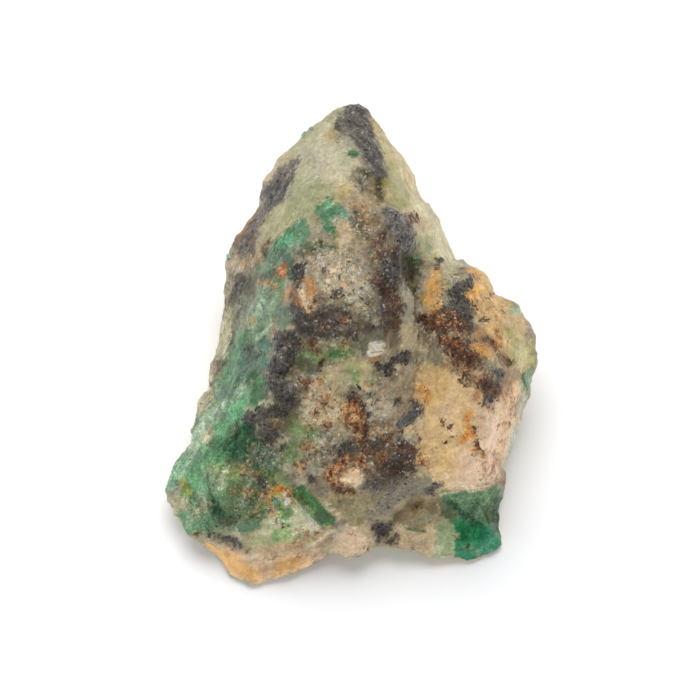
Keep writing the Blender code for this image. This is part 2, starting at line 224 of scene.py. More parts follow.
# The stone's skin: the CAD solid's surface, meshed finer, with the broken relief of the real one
skin = {
    "mesh": 0.000226,                       # metres between points where the surface is at the aim's depth
    "finer": 26.0,                          # how much finer towards the eye, per metre
    "rounds": 5,                            # of smoothing, which takes the CAD facets off
    "grow": 0.00004,                        # metres that the smoothing takes off and the skin gets back
    "edgeOn": (-0.25, 0.08),                # facing where the drawn side begins and is full
    # what bends, shakes and frays the drawn edges: metres across, and steps, or shares of the softness
    "wander": (0.0018, 3.0), "shake": (0.00015, 2.2), "fray": (0.0010, 0.8),
    # relief: metres across, and metres high
    "scars": (0.0017, 0.00018), "chips": (0.0008, 0.00012), "grit": (0.00045, 0.00006),
    "crust": (0.0006, 0.00013),
    "onFine": 0.7, "onCoarse": 0.8,         # share of the relief on fine rock, and what coarse rock adds
    "hidden": 1.5,                          # how much rougher the hidden sides are
    "crustLevel": 0.6,                      # of the crust's noise that stands level with the rock
    "silverCrust": 0.75, "rustCrust": 0.8,  # how much of it silvery mica lacks, and how much rust has
    "crackEdge": (-2.5, 1), "quietEdge": (-8, 4),  # steps inside a line where each begins and is full
    "delit": 0.7,                           # share of the photo's light that is taken out of the tones
    "stain": 0.40, "dust": 0.35,            # how much rust colours the rock about it, and mica darkens it
}

# Cracks and small ledges of the seen side, finer than the CAD's: millimetres up, and lines. A line holds
# across, down and half-width for each of its points in turn, all in steps.
cracks = [
    (-0.3, (285, 333, 1, 292, 339, 1.5, 299, 345, 1), (274, 372, 1, 292, 375, 1),
     (272, 402, 1, 290, 400, 1)),
    (-0.3, (417, 290, 1, 419, 322, 1.5, 421, 338, 1), (421, 345, 1, 418, 380, 1, 414, 402, 1)),
    (-0.25, (440, 486, 1, 420, 498, 1.5, 396, 517, 1), (444, 492, 1.5, 470, 493, 1.5, 500, 482, 1)),
    (-0.2, (450, 500, 1, 466, 515, 1, 482, 532, 1), (476, 532, 1, 479, 556, 1),
     (492, 500, 1, 493, 520, 1)),
    (-0.2, (322, 551, 1, 290, 558, 1, 262, 562, 1, 222, 553, 1), (300, 570, 1, 262, 574, 1)),
    (0.18, (310, 545, 2, 322, 537, 2), (272, 556, 1.5, 288, 551, 1.5), (258, 338, 2, 272, 325, 2)),
    (-0.18, (240, 385, 1, 222, 412, 1, 205, 430, 1), (262, 290, 1, 248, 330, 1, 240, 352, 1)),
    (-0.18, (228, 467, 1, 218, 482, 1, 214, 498, 1), (200, 440, 1, 190, 462, 1),
     (246, 452, 1, 232, 478, 1)),
    (0.16, (232, 396, 1.5, 214, 416, 2, 196, 436, 1.5), (262, 300, 2, 252, 322, 1.5)),
    (-0.16, (297, 160, 1, 282, 200, 1), (362, 132, 1, 372, 158, 1), (352, 110, 1, 358, 128, 1)),
    (-0.22, (388, 228, 1, 380, 262, 1, 384, 300, 1), (396, 250, 1, 398, 300, 1),
     (372, 240, 1, 368, 262, 1)),
    (-0.18, (454, 350, 1, 470, 372, 1, 486, 396, 1), (444, 318, 1, 458, 338, 1),
     (462, 360, 1, 478, 384, 1)),
]

# Where the outline is moved in the view: place, reach, and steps to the right and down
shifts = [
    ((473, 566), 13, (0, -5)),
    ((356, 99), 14, (0, 3)),
    ((513, 466), 20, (-2, 0)),
    ((266, 587), 12, (0, -2)),
    ((495, 520), 16, (3, 0)),
    ((497, 291), 9, (-3, 2)),
    ((456, 256), 9, (0, 4)),
]

# Where the surface is smooth: the share of the relief that stays, and lines
quiet = [
    (0.45, (440, 385, 22, 460, 430, 34, 478, 462, 26), (395, 150, 14, 405, 190, 14, 440, 245, 12)),
    (0.6, (318, 150, 26, 300, 205, 26), (408, 290, 8, 408, 340, 8)),
    (0.35, (240, 565, 14, 270, 566, 12, 300, 560, 8), (345, 542, 13), (298, 514, 9, 310, 524, 8)),
]


def skinBase():
    # The CAD node's surface: merged, then remeshed in a space that is wider towards the eye by
    # exp(finer * depth), so that the seen side gets more points, and smoothed.
    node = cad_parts["rough_emerald"].data
    node.calc_loop_triangles()
    faces = np.empty(len(node.loop_triangles) * 3, np.int32)
    node.loop_triangles.foreach_get("vertices", faces)
    points, merged = np.unique(readPoints(node).astype(np.float32).round(7), axis=0, return_inverse=True)
    faces = merged.reshape(-1)[faces].reshape(-1, 3)
    axes = np.array([viewRight, viewUp, viewBack])
    seen = (points - aimPoint) @ axes.T
    seen[:, :2] *= np.exp(skin["finer"] * seen[:, 2:])

    mesh = bpy.data.meshes.new("stone_skin")
    mesh.from_pydata(seen.tolist(), [], faces.tolist())
    piece = newPiece("stone_skin", mesh)
    remesh = piece.modifiers.new("even mesh", "REMESH")
    remesh.mode = "VOXEL"
    remesh.voxel_size = skin["mesh"]
    smooth = piece.modifiers.new("facets off", "SMOOTH")
    smooth.iterations = skin["rounds"]
    graph = bpy.context.evaluated_depsgraph_get()
    piece.data = bpy.data.meshes.new_from_object(piece.evaluated_get(graph))
    piece.modifiers.clear()
    points = readPoints(piece.data)
    points[:, :2] *= np.exp(-skin["finer"] * points[:, 2:])
    writePoints(piece.data, points @ axes + aimPoint)
    return piece


def shifted(points):
    # The points moved across the view near each listed place: all of the shift there, none at the reach
    sight = toSight(points)
    for place, reach, (right, down) in shifts:
        share = smoothStep(reach, 0, np.hypot(*(sight[:, :2] - np.array(place)).T))
        move = right * viewRight - down * viewUp
        points = points + share[:, None] * move * view["width"] / view["steps"]
    return points


# What the rock is made of, as the eye sees it, with some tones that stand for painted shade, highlights
# and glints: sRGB of each tone under even light
tones = {
    "ground": "A79C80", "paleCeladon": "C0BCA2", "celadon": "B1AD8F", "greenCeladon": "9FA27F",
    "oliveCeladon": "9D9B79", "cream": "C9BF9F", "tanYellow": "B6A372", "greyStone": "A3A08C",
    "flank": "B3A880", "flankEdge": "C1B595", "crest": "BDB798", "oliveBand": "8A8557",
    "mossSpot": "97935C", "micaGrey": "6E6963", "micaBrown": "827668", "micaDark": "4A4643",
    "rimBrown": "B98F62", "rimBeige": "C3B298", "shade": "6A6455", "blackGreen": "24271C",
    "oliveBlack": "3B3926", "emerald": "597D5F", "emeraldLight": "6E997A", "emeraldDim": "5A785D",
    "greyGreen": "6D7F6C", "greenShade": "4F6350", "sage": "82967B", "sageLight": "95A78F",
    "greenBand": "718869", "mint": "94AA8F", "mintPale": "A4B8A2", "bright": "66956F", "leaf": "68916D",
    "leafDark": "4F7553", "deepGreen": "365A40", "darkestGreen": "1E3E29", "blueGreen": "53715F",
    "tealShade": "4F6F5D", "cornerMint": "8FB394", "yellowGreen": "8CA36F", "mottled": "566848",
    "grass": "4C6B44", "grassBright": "47734A", "bits": "6F8F5C", "bitsPale": "8FA873",
    "quartzGreen": "B4B596", "lightLine": "D5D3B4", "orangeSpot": "A8683C", "orange": "BE8850",
    "ochre": "BC9865", "ochreDeep": "C08A40", "granular": "B2A589", "granularGrey": "A19B86",
    "tan": "85785E", "tanLight": "B5A385", "peachWhite": "D3BD9C", "spotWhite": "E0CBA6",
    "greyStrip": "9B9A87", "stripLow": "ACA185", "wedge": "666453", "whiteBlock": "CBC4AE",
    "whiteQuartz": "C4BFAA", "blockEdge": "B39B72", "centre": "B0A283", "centrePink": "C4AA8C",
    "olive": "70805A", "greyGranular": "998E79", "blueBlack": "4E4E4D", "rustBrown": "6E4E38",
    "rustMix": "5F5242", "lobe": "CAB188", "lobePink": "D6BDA2", "lobeEdge": "D0B28F",
    "lobeYellow": "C8AB78", "redBrown": "6E4630", "wedgeGrey": "807A66", "shoulder": "C5A77A",
    "shoulderPale": "BFA981", "paleGreen": "B0AB82", "greenTint": "9FA06A", "rimGreen": "6F8A62",
    "sliver": "A9B0A0", "edgeBrown": "8F7257", "cornerCream": "B2AF91", "oliveBar": "8C8A50",
    "bandOlive": "817B69", "slopeOlive": "847C5F", "lineGrey": "5A564F", "nub": "C2AE93",
    "lowBeige": "A6967A", "lowOlive": "83775B", "lowYellow": "B2A17E", "lowCeladon": "8A9674",
    "footShade": "4A5C38", "glassGreen": "6B8868", "vivid": "2B744B", "teal": "38775A", "lip": "AE9B7E",
    "stain": "94683F", "orangeStain": "C4853F", "darkOlive": "55533F", "umber": "5E5343",
    "amber": "E2B678", "under": "D0B28E", "underOchre": "D2AC78", "needle": "4C5F3C",
}

# The seen side's colours, laid on in this order: tone, with whether the stroke is crisp or keeps to the
# foot or the lobe, softness of its edge in steps, strength, and lines
paint = [
    # the tip and the right flank
    ("celadon", 9, 1, (345, 112, 14, 322, 140, 30, 300, 190, 36, 285, 225, 24)),
    ("paleCeladon", 7, 1, (330, 145, 16, 326, 168, 18, 316, 178, 10)),
    ("wedge", 5, 0.5, (295, 180, 4, 288, 196, 6)),
    ("greenCeladon", 6, 0.8, (324, 192, 10)),
    ("greenCeladon", 7, 0.9, (300, 185, 10, 308, 200, 14, 296, 214, 14)),
    ("oliveCeladon", 6, 0.9, (284, 210, 9, 278, 224, 13), (270, 238, 6)),
    ("cream", 5, 0.8, (334, 172, 7, 346, 184, 8), (345, 162, 7, 356, 165, 6)),
    ("tanYellow", 4, 0.8, (347, 190, 6, 340, 199, 4), (334, 132, 4, 330, 140, 4)),
    ("greyStone", 4, 0.7, (304, 150, 5, 312, 158, 5), (346, 141, 5, 355, 148, 7)),
    ("flank", 6, 1, (378, 124, 10, 392, 150, 17, 402, 185, 20, 412, 205, 12)),
    ("flankEdge", 4, 0.9, (384, 132, 3, 398, 155, 4, 411, 180, 5, 416, 196, 4)),
    ("crest", 5, 1, (417, 206, 8, 428, 222, 14, 436, 244, 14, 447, 262, 11, 444, 280, 7)),
    ("greenCeladon", 5, 0.6, (422, 240, 8, 430, 256, 6), (394, 176, 7)),
    ("tanLight", 4, 0.8, (420, 222, 5, 421, 230, 5)),
    ("oliveBand", 4, 0.9, (388, 165, 3, 386, 182, 6)),
    ("oliveCeladon", 6, 0.9, (396, 182, 7, 401, 196, 9)),
    ("mossSpot", 3, 0.9, (396, 201, 5, 402, 206, 4), (436, 259, 4)),
    ("emeraldLight", 2, 0.8, (427, 245, 2)),
    ("micaGrey", 4, 1, (352, 108, 10, 357, 124, 15, 366, 142, 10, 373, 156, 9, 379, 174, 8)),
    ("greyStone", 3, 0.9, (348, 143, 5, 354, 149, 5)),
    ("micaGrey", 3, 0.7, (343, 130, 5, 342, 136, 3)),
    ("greenCeladon", 3, 0.9, (346, 160, 6)),
    ("leafDark crisp", 1, 1, (350, 153, 3, 355, 154, 3.5)),
    ("oliveBlack", 2.5, 0.8, (356, 176, 3.5, 361, 171, 3.5, 369, 176, 4), (361, 184, 4, 363, 190, 2)),
    ("tan", 3, 0.9, (371, 180, 5, 373, 190, 4)),
    ("oliveBlack", 3, 0.85, (379, 181, 4, 379, 191, 5, 381, 199, 4)),
    ("micaGrey", 4, 1, (297, 161, 3, 287, 173, 9, 275, 192, 14, 268, 205, 7)),
    ("rimBeige", 3, 0.8, (284, 156, 4, 272, 170, 3, 267, 179, 4)),
    ("micaBrown", 4, 1, (263, 213, 6, 252, 228, 9, 244, 244, 10)),
    ("rimBrown", 1.8, 0.9, (258, 208, 2, 250, 218, 2.5, 237, 237, 3)),
    ("rimBeige", 4, 0.55, (231, 262, 6, 238, 268, 5)),
    ("tan", 3, 0.6, (242, 261, 5)),
    ("shade", 5, 1, (244, 281, 9, 236, 294, 9)),
    # the green of the lower left corner under everything there
    ("greenBand", 10, 1, (214, 430, 20, 200, 470, 26, 204, 508, 26, 246, 500, 26, 276, 500, 20)),
    ("mottled", 8, 0.8, (236, 450, 14, 250, 480, 16, 240, 512, 14, 262, 520, 10)),
    ("emerald", 8, 0.6, (216, 500, 10, 206, 520, 10), (190, 512, 8)),
    ("quartzGreen", 6, 0.7, (255, 540, 10, 285, 530, 12, 312, 525, 8)),
    ("shade", 8, 0.9, (362, 214, 12, 380, 236, 14, 384, 270, 14, 380, 305, 12)),
    ("shade", 8, 0.8, (300, 320, 12, 330, 325, 14, 352, 326, 12)),
    # the first emerald patches and the green band down the left
    ("greenBand", 8, 1, (276, 268, 16, 258, 305, 22, 242, 345, 20, 228, 385, 19, 210, 425, 18)),
    ("emerald", 2.2, 1, (326, 202, 4, 325, 212, 9, 337, 209, 7), (327, 226, 5.5, 333, 228, 5)),
    ("emeraldLight", 3, 0.7, (343, 214, 5, 345, 220, 5), (330, 206, 4)),
    ("emerald", 2.5, 1, (303, 221, 4, 297, 232, 8, 286, 243, 9, 279, 253, 8)),
    ("greyGreen", 3, 0.8, (294, 249, 5)),
    ("emeraldLight", 3, 1, (289, 240, 5, 282, 248, 6)),
    ("emeraldDim", 2, 1, (307, 228, 4, 304, 243, 5)),
    ("greyGreen", 4, 1, (284, 258, 9, 274, 268, 10, 266, 282, 9)),
    ("greenShade", 3, 1, (291, 260, 5, 292, 274, 6), (266, 252, 4, 262, 258, 3)),
    ("blackGreen", 2.5, 1, (300, 267, 4, 299, 276, 6)),
    ("sage", 5, 1, (268, 292, 11, 262, 308, 11, 254, 325, 8)),
    ("sageLight", 4, 0.9, (267, 292, 6, 262, 308, 5, 254, 328, 3)),
    ("orangeSpot", 2, 1, (278, 272, 3, 284, 268, 3, 283, 274, 5)),
    ("tanYellow", 1.5, 1, (274, 285, 4.5), (252, 321, 4)),
    ("rimBrown", 2, 0.9, (260, 284, 3, 267, 282, 3), (293, 290, 2, 287, 296, 2.5),
     (273, 322, 1.5, 274, 330, 1.5)),
    ("shade", 5, 0.8, (258, 280, 7, 246, 292, 10, 240, 306, 8, 234, 322, 7)),
    ("cornerCream", 2.5, 1, (229, 311, 3, 226, 330, 6, 222, 353, 7),
     (212, 378, 3, 205, 396, 6, 202, 410, 5)),
    ("shade", 1.2, 1, (236, 329, 1.5, 231, 341, 2)),
    ("micaBrown", 3, 1, (221, 364, 5, 217, 373, 4)),
    ("emeraldDim", 5, 1, (243, 340, 7, 236, 368, 10, 226, 392, 8)),
    ("leafDark", 5, 0.4, (236, 378, 7)),
    ("shade", 4, 0.5, (248, 314, 5), (252, 264, 8), (240, 326, 7), (296, 286, 8)),
    ("darkOlive", 5, 0.8, (246, 286, 9), (229, 319, 3)),
    ("blueGreen", 4, 1, (262, 330, 4, 264, 347, 8), (262, 362, 9, 269, 366, 6)),
    ("tealShade", 4, 0.9, (247, 354, 7, 243, 372, 6)),
    ("leafDark", 4, 1, (262, 386, 9, 256, 401, 7)),
    ("greenShade", 4, 0.8, (255, 370, 8, 250, 362, 5)),
    ("leaf", 3, 0.9, (248, 391, 4, 246, 402, 4)),
    ("deepGreen", 1.5, 1, (247, 381, 3.5, 254, 375, 5, 259, 374, 3)),
    ("deepGreen", 4, 0.5, (250, 355, 5, 246, 368, 5), (268, 342, 4), (232, 392, 4)),
    # pale mint here, and the mint down the ridge below, are a painted sheen and shine on the green
    ("mintPale", 2.5, 1, (244, 382, 2.5, 239, 392, 4, 235, 402, 4)),
    ("bright", 5, 1, (242, 402, 6, 234, 413, 11, 222, 424, 9), (244, 422, 6)),
    ("mint", 4, 0.95, (221, 406, 4, 212, 418, 7, 202, 430, 7, 190, 452, 7, 180, 464, 5)),
    ("mintPale", 2.5, 0.8, (228, 402, 2.5, 213, 418, 3), (204, 426, 3, 190, 446, 3)),
    ("quartzGreen", 2, 1, (262, 404, 2.5, 270, 401, 2.5), (258, 339, 1)),
    ("sageLight crisp", 1.5, 1, (258, 339, 2, 266, 332, 2.5, 273, 325, 2)),
    ("leaf", 6, 1, (224, 438, 10, 214, 456, 13, 198, 472, 12, 190, 490, 9)),
    ("deepGreen", 5, 1, (244, 426, 7, 248, 438, 10, 236, 448, 12, 230, 453, 6)),
    ("darkestGreen", 3, 1, (250, 429, 6, 256, 438, 5)),
    ("cornerCream", 2.5, 1, (211, 429, 3, 206, 438, 4)),
    ("paleCeladon", 3, 0.8, (205, 398, 4, 202, 408, 4), (221, 352, 4)),
    ("cornerMint", 4, 1, (184, 462, 7, 174, 474, 8, 168, 487, 5)),
    ("cornerCream", 5, 0.9, (176, 497, 6, 182, 508, 8)),
    ("oliveBar", 2, 1, (182, 479, 2.5, 186, 487, 3.5, 190, 494, 2)),
    ("yellowGreen", 4, 0.65, (210, 469, 7, 224, 474, 9, 236, 474, 7)),
    ("mintPale", 3, 0.5, (209, 477, 4)),
    ("quartzGreen", 4, 0.6, (212, 470, 4), (204, 505, 6, 198, 514, 5)),
    ("bright", 4, 0.8, (183, 516, 5, 189, 529, 7), (206, 486, 5)),
    ("mottled", 4, 0.8, (281, 474, 7)),
    ("mottled", 5, 1, (262, 452, 11, 268, 464, 13, 246, 478, 10),
     (238, 492, 12, 248, 506, 13, 232, 514, 10)),
    ("greyGreen", 4, 0.7, (262, 456, 8, 274, 462, 7), (240, 502, 6)),
    ("darkestGreen", 3, 1, (215, 503, 4, 218, 513, 6), (282, 450, 3, 285, 445, 3)),
    ("redBrown", 2, 0.8, (212, 506, 2.5)),
    ("lightLine", 0.9, 0.9, (217, 481, 0.7, 225, 472, 1, 230, 467, 0.7), (216, 491, 0.7, 222, 486, 0.8)),
    # the lower left: green bits, white quartz and the bar crystal
    ("quartzGreen", 5, 1, (270, 524, 10, 296, 520, 14, 312, 526, 8)),
    ("oliveCeladon", 4, 1, (250, 538, 7, 262, 546, 9, 276, 542, 7)),
    ("bits", 2, 0.6, (287, 523, 5), (306, 513, 3)),
    ("bits crisp", 1.2, 0.9, (281, 508, 5, 284, 514, 6, 290, 512, 4), (275, 534, 4, 277, 540, 3),
     (268, 505, 4)),
    ("bitsPale crisp", 2, 0.8, (284, 532, 5, 290, 539, 5, 282, 543, 3), (300, 506, 2), (300, 536, 3)),
    ("leaf crisp", 1, 0.9, (311, 536, 3, 316, 534, 2)),
    ("glassGreen crisp", 1, 1, (239, 528, 4, 248, 528, 5, 257, 524, 4)),
    # a painted glint at the end of the small bar crystal
    ("mintPale crisp", 0.8, 0.9, (237, 526, 1.2, 237, 530, 1.2)),
    ("footShade", 5, 0.55, (264, 474, 9, 272, 487, 9)),
    ("greenShade", 4, 0.9, (262, 455, 10)),
    ("footShade", 4, 0.4, (251, 482, 9, 259, 500, 8)),
    ("ochreDeep", 2, 0.85, (271, 495, 2, 278, 488, 3, 286, 493, 4, 290, 501, 3), (270, 503, 2)),
    ("slopeOlive", 5, 1, (336, 502, 8, 350, 508, 14, 362, 516, 12)),
    ("whiteQuartz crisp", 1.2, 0.9, (285, 491, 2, 288, 500, 3, 286, 505, 2),
     (303, 516, 3, 309, 521, 6, 314, 527, 4)),
    ("grass crisp", 1, 1, (300, 493, 7, 305, 498, 8, 320, 514, 8, 327, 521, 8)),
    ("grass crisp", 1, 1, (294, 491, 2, 304, 486, 2), (333, 518, 2.5, 325, 528, 2.5)),
    ("grassBright crisp", 3, 0.9, (300, 491, 4, 311, 500, 4), (316, 516, 3)),
    ("slopeOlive crisp", 1.5, 0.6, (306, 505, 1, 322, 524, 1.5)),
    ("blockEdge crisp", 2, 0.7, (325, 529, 2, 331, 527, 2)),
    ("quartzGreen", 2, 0.8, (329, 506, 2.5, 332, 512, 2)),
    ("lip", 4, 1, (322, 536, 7, 304, 546, 8, 282, 552, 7, 250, 556, 6, 226, 550, 4)),
    ("under", 3, 1, (216, 552, 6, 240, 566, 12, 275, 568, 11, 306, 560, 7), (258, 578, 6)),
    ("underOchre", 4, 1, (208, 546, 3, 222, 556, 5, 238, 566, 6, 254, 575, 6),
     (276, 570, 6, 294, 564, 5)),
    ("rimBeige", 4, 0.9, (250, 558, 6, 268, 560, 5)),
    ("edgeBrown", 1, 0.8, (262, 560, 0.8, 276, 557, 0.8), (296, 556, 1, 309, 554, 0.8),
     (296, 565, 1, 303, 562, 0.8)),
    # a painted highlight along the lip's rim
    ("lightLine crisp", 1, 0.55, (298, 548, 0.7, 311, 544, 1.1, 322, 537.5, 1.2, 333, 531, 0.8),
     (272, 556, 0.8, 288, 551, 0.8)),
    ("edgeBrown crisp", 1, 0.8, (316, 547, 0.8, 330, 538, 1.2, 337, 541, 1)),
    # the middle mass
    ("granular", 7, 1, (322, 255, 12, 332, 272, 20, 352, 288, 18)),
    ("tanLight", 5, 1, (345, 232, 9, 340, 244, 7)),
    ("slopeOlive", 4, 0.7, (313, 220, 6)),
    ("granularGrey", 4, 0.7, (322, 262, 7), (344, 262, 6), (356, 306, 8)),
    ("tanLight", 4, 0.6, (352, 203, 6, 366, 204, 8, 384, 206, 5)),
    ("tan", 5, 1, (357, 216, 9, 368, 224, 12, 364, 234, 9)),
    ("mottled", 3, 0.8, (312, 246, 5, 322, 248, 6, 337, 246, 4), (334, 236, 5)),
    ("micaGrey", 4, 1, (386, 210, 5, 394, 220, 8, 402, 233, 11, 404, 248, 10)),
    ("micaDark", 6, 0.85, (394, 262, 12, 388, 282, 13, 388, 302, 12, 390, 320, 12)),
    ("cream", 2, 0.8, (378, 204, 2.5, 390, 208, 2)),
    ("granular", 4, 0.8, (357, 282, 8), (332, 284, 6), (364, 259, 5)),
    ("cream", 4, 0.45, (330, 282, 6), (345, 240, 6), (415, 212, 5)),
    ("umber", 4, 0.6, (367, 298, 5), (293, 299, 5)),
    ("orangeStain", 3, 0.7, (310, 284, 3)),
    ("orangeStain", 4, 0.5, (306, 282, 4, 314, 290, 5, 304, 300, 8)),
    ("spotWhite crisp", 1.5, 1, (302, 292, 3.5, 304, 298, 3), (307, 304, 4), (312, 298, 2),
     (308, 311, 2.5)),
    ("orange", 2, 0.9, (312, 287, 3, 317, 294, 3), (297, 302, 2)),
    ("micaDark", 5, 0.9, (296, 308, 5, 306, 326, 11, 322, 316, 10, 340, 322, 11)),
    ("greenShade", 4, 0.5, (312, 324, 6, 322, 336, 6), (338, 336, 7)),
    ("greyGreen", 3, 0.9, (281, 311, 7, 286, 318, 8, 283, 325, 6)),
    ("micaGrey", 4, 0.15, (284, 316, 7)),
    ("greyGreen", 3, 0.6, (276, 318, 5, 284, 310, 4)),
    ("olive", 5, 1, (306, 356, 9, 320, 358, 9, 336, 352, 8, 350, 352, 7)),
    ("greenShade", 3, 0.9, (302, 364, 7, 314, 368, 7)),
    ("grassBright", 3, 0.6, (333, 355, 4, 346, 351, 4)),
    ("centre", 7, 1, (332, 372, 10, 318, 396, 16, 316, 418, 13, 336, 408, 12),
     (356, 368, 12, 364, 384, 10)),
    ("centrePink", 4, 0.8, (308, 382, 5, 316, 386, 4)),
    ("paleGreen", 5, 0.8, (352, 364, 9, 362, 372, 9), (326, 376, 6)),
    ("bits", 3, 0.7, (352, 370, 5, 357, 383, 3), (340, 384, 3)),
    ("olive", 6, 1, (294, 428, 8, 304, 440, 12, 292, 456, 10)),
    ("bits", 3, 0.7, (315, 433, 4), (292, 426, 4)),
    ("granularGrey", 4, 0.6, (322, 438, 6, 300, 452, 5), (314, 468, 8)),
    ("wedge", 3, 1, (374, 333, 9, 368, 346, 9, 384, 334, 6)),
    ("greyGranular", 6, 1, (404, 368, 12, 392, 390, 15, 384, 408, 14, 402, 392, 12)),
    ("granular", 4, 0.25, (370, 411, 5, 386, 406, 6), (360, 392, 5)),
    ("bandOlive", 4, 0.7, (412, 360, 7, 404, 384, 7)),
    ("greyStrip", 2.5, 1, (407, 288, 6, 408, 304, 8, 408, 318, 7)),
    ("stripLow", 3, 1, (409, 328, 7, 408, 343, 6)),
    ("whiteBlock crisp", 1, 1, (372, 346, 4, 381, 345, 3.5), (371, 353, 4, 379, 351, 4)),
    ("stain crisp", 1.2, 0.9, (371, 360, 2, 380, 357, 2), (386, 344, 1.2)),
    # dark rock in two hollows, with painted shade in them
    ("oliveBlack", 3, 1, (409, 262, 7, 412, 275, 9, 413, 287, 6), (421, 264, 4), (384, 369, 4)),
    ("grass", 2.5, 0.9, (414, 258, 4)),
    ("darkOlive", 4, 0.9, (280, 426, 7, 292, 414, 8, 297, 402, 5), (303, 253, 5)),
    ("darkOlive", 4, 0.8, (304, 350, 7), (304, 366, 8), (268, 397, 4), (361, 226, 6),
     (222, 538, 3, 236, 543, 4)),
    ("darkOlive", 4, 0.5, (315, 249, 6), (243, 284, 9), (307, 370, 8), (307, 369, 6), (360, 216, 6)),
    ("umber", 4, 0.5, (381, 423, 5)),
    ("slopeOlive", 4, 0.8, (373, 378, 8)),
    ("umber", 4, 0.85, (390, 328, 8, 392, 344, 6), (358, 318, 6, 368, 328, 7),
     (300, 380, 5, 303, 390, 7)),
    ("umber", 4, 0.8, (379, 201, 5), (322, 297, 5), (384, 484, 9, 400, 479, 9), (351, 387, 4)),
    ("umber", 4, 0.5, (324, 482, 9, 318, 494, 6), (323, 374, 4), (342, 332, 11), (384, 340, 6),
     (458, 368, 6), (473, 314, 6)),
    ("rustBrown", 5, 0.9, (352, 400, 5, 358, 416, 9, 358, 434, 9)),
    ("blockEdge", 3, 0.9, (354, 411, 5, 352, 420, 4)),
    ("tanLight", 4, 0.9, (371, 431, 5, 384, 437, 4)),
    ("rustMix", 6, 1, (358, 450, 12, 376, 450, 14, 398, 452, 12, 392, 470, 12, 372, 476, 8)),
    ("granular", 3, 0.7, (368, 411, 4)),
    ("peachWhite", 3, 1, (342, 481, 5, 349, 480, 7, 357, 473, 7)),
    ("rustBrown", 3, 0.8, (330, 474, 5, 336, 484, 4, 348, 489, 4), (362, 466, 5)),
    ("micaBrown", 4, 0.3, (322, 462, 8, 334, 456, 8), (306, 478, 7)),
    # the right shoulder and the pale lobe
    ("shoulder", 7, 1, (478, 276, 10, 492, 300, 18, 500, 326, 20, 486, 344, 16)),
    ("shoulderPale", 5, 1, (512, 322, 12, 514, 344, 14, 516, 362, 12)),
    ("paleGreen", 5, 0.9, (520, 348, 9, 515, 362, 8)),
    ("greenTint", 4, 0.7, (530, 348, 4, 530, 362, 4), (508, 334, 4, 514, 340, 4)),
    ("ochre", 4, 1, (437, 270, 5, 433, 286, 9, 433, 302, 11)),
    ("lowOlive", 4, 0.7, (443, 282, 4), (424, 268, 4)),
    ("lowOlive", 4, 0.4, (446, 270, 6)),
    ("ochre", 3, 1, (474, 346, 5, 484, 354, 5)),
    ("amber crisp", 2, 1, (471, 294, 6, 478, 291, 6)),
    ("amber", 4, 0.5, (478, 350, 6)),
    ("orangeStain", 3, 0.7, (476, 276, 3, 470, 270, 3), (472, 297, 5)),
    ("rimGreen", 1.6, 1, (522, 376, 3.5, 529, 373, 5, 527, 385, 5, 524, 392, 2.5)),
    # a painted glint on the green at the shoulder's edge
    ("cornerMint", 2, 0.7, (511, 310, 5, 517, 311, 4)),
    ("lobe lobe", 6, 1, (428, 376, 12, 440, 392, 24, 452, 422, 30, 448, 458, 26, 444, 478, 14)),
    ("lobe lobe", 8, 0.8, (444, 362, 12, 468, 384, 14, 484, 400, 12, 500, 386, 8)),
    ("lobePink lobe", 30, 1, (500, 404, 18, 498, 436, 24, 484, 462, 24, 466, 482, 14)),
    ("lobeEdge lobe", 5, 0.9, (514, 384, 6, 510, 412, 7, 506, 440, 5, 500, 462, 5)),
    ("lobe lobe", 3, 0.85, (409, 430, 5, 425, 428, 6, 438, 421, 6)),
    ("peachWhite", 6, 0.35, (442, 386, 8, 446, 402, 8)),
    ("tanYellow", 5, 0.5, (428, 369, 6, 441, 371, 5)),
    # the blue-black lens, and painted shade in its recess
    ("blueBlack", 2, 1, (414, 402, 4, 419, 410, 6, 410, 418, 6, 400, 425, 3)),
    ("lobeYellow", 5, 0.6, (444, 383, 7, 430, 402, 7), (446, 458, 9), (420, 446, 6)),
    ("orangeStain", 3.5, 0.85, (468, 412, 2.5, 467, 424, 4, 470, 436, 4, 462, 440, 4), (474, 448, 3)),
    ("orangeStain", 1.5, 0.9, (499, 427, 2), (425, 396, 3)),
    ("ochreDeep", 3, 0.6, (423, 384, 3, 424, 396, 4), (500, 427, 2)),
    ("redBrown", 4, 0.9, (426, 318, 6, 440, 322, 9, 452, 324, 9),
     (448, 342, 6, 458, 350, 10, 470, 360, 8)),
    ("rustMix", 5, 0.9, (464, 288, 6, 460, 298, 10, 456, 312, 9), (486, 378, 9, 492, 390, 10)),
    ("rustBrown", 5, 0.6, (477, 330, 6, 490, 346, 6), (447, 364, 6), (512, 372, 6, 505, 390, 7),
     (425, 462, 6)),
    ("wedgeGrey", 3, 1, (432, 342, 6, 440, 350, 8, 436, 360, 6)),
    ("stain", 4, 0.7, (479, 384, 5, 477, 396, 5)),
    ("tanLight", 4, 0.45, (477, 378, 5)),
    ("umber", 3, 0.7, (425, 334, 4, 428, 344, 4), (456, 368, 6)),
    ("sliver", 1.2, 1, (526, 396, 1.5, 520, 413, 2, 515, 428, 2.5, 511, 445, 3, 507, 457, 2.5)),
    ("edgeBrown", 2, 1, (502, 472, 3, 505, 484, 2.5)),
    # painted shade down the crease beside the grey strip
    ("lineGrey", 1.8, 0.65, (417, 290, 2, 419, 302, 2.5, 419, 322, 2, 421, 337, 2)),
    # the front slope and the right foot
    ("bandOlive", 4, 1, (428, 480, 6, 410, 490, 10, 394, 502, 12, 376, 514, 9)),
    ("slopeOlive", 4, 0.7, (346, 500, 8, 366, 504, 8)),
    ("tanLight", 4, 0.85, (400, 508, 6, 414, 505, 6)),
    # painted shade along the valley line of the front slope
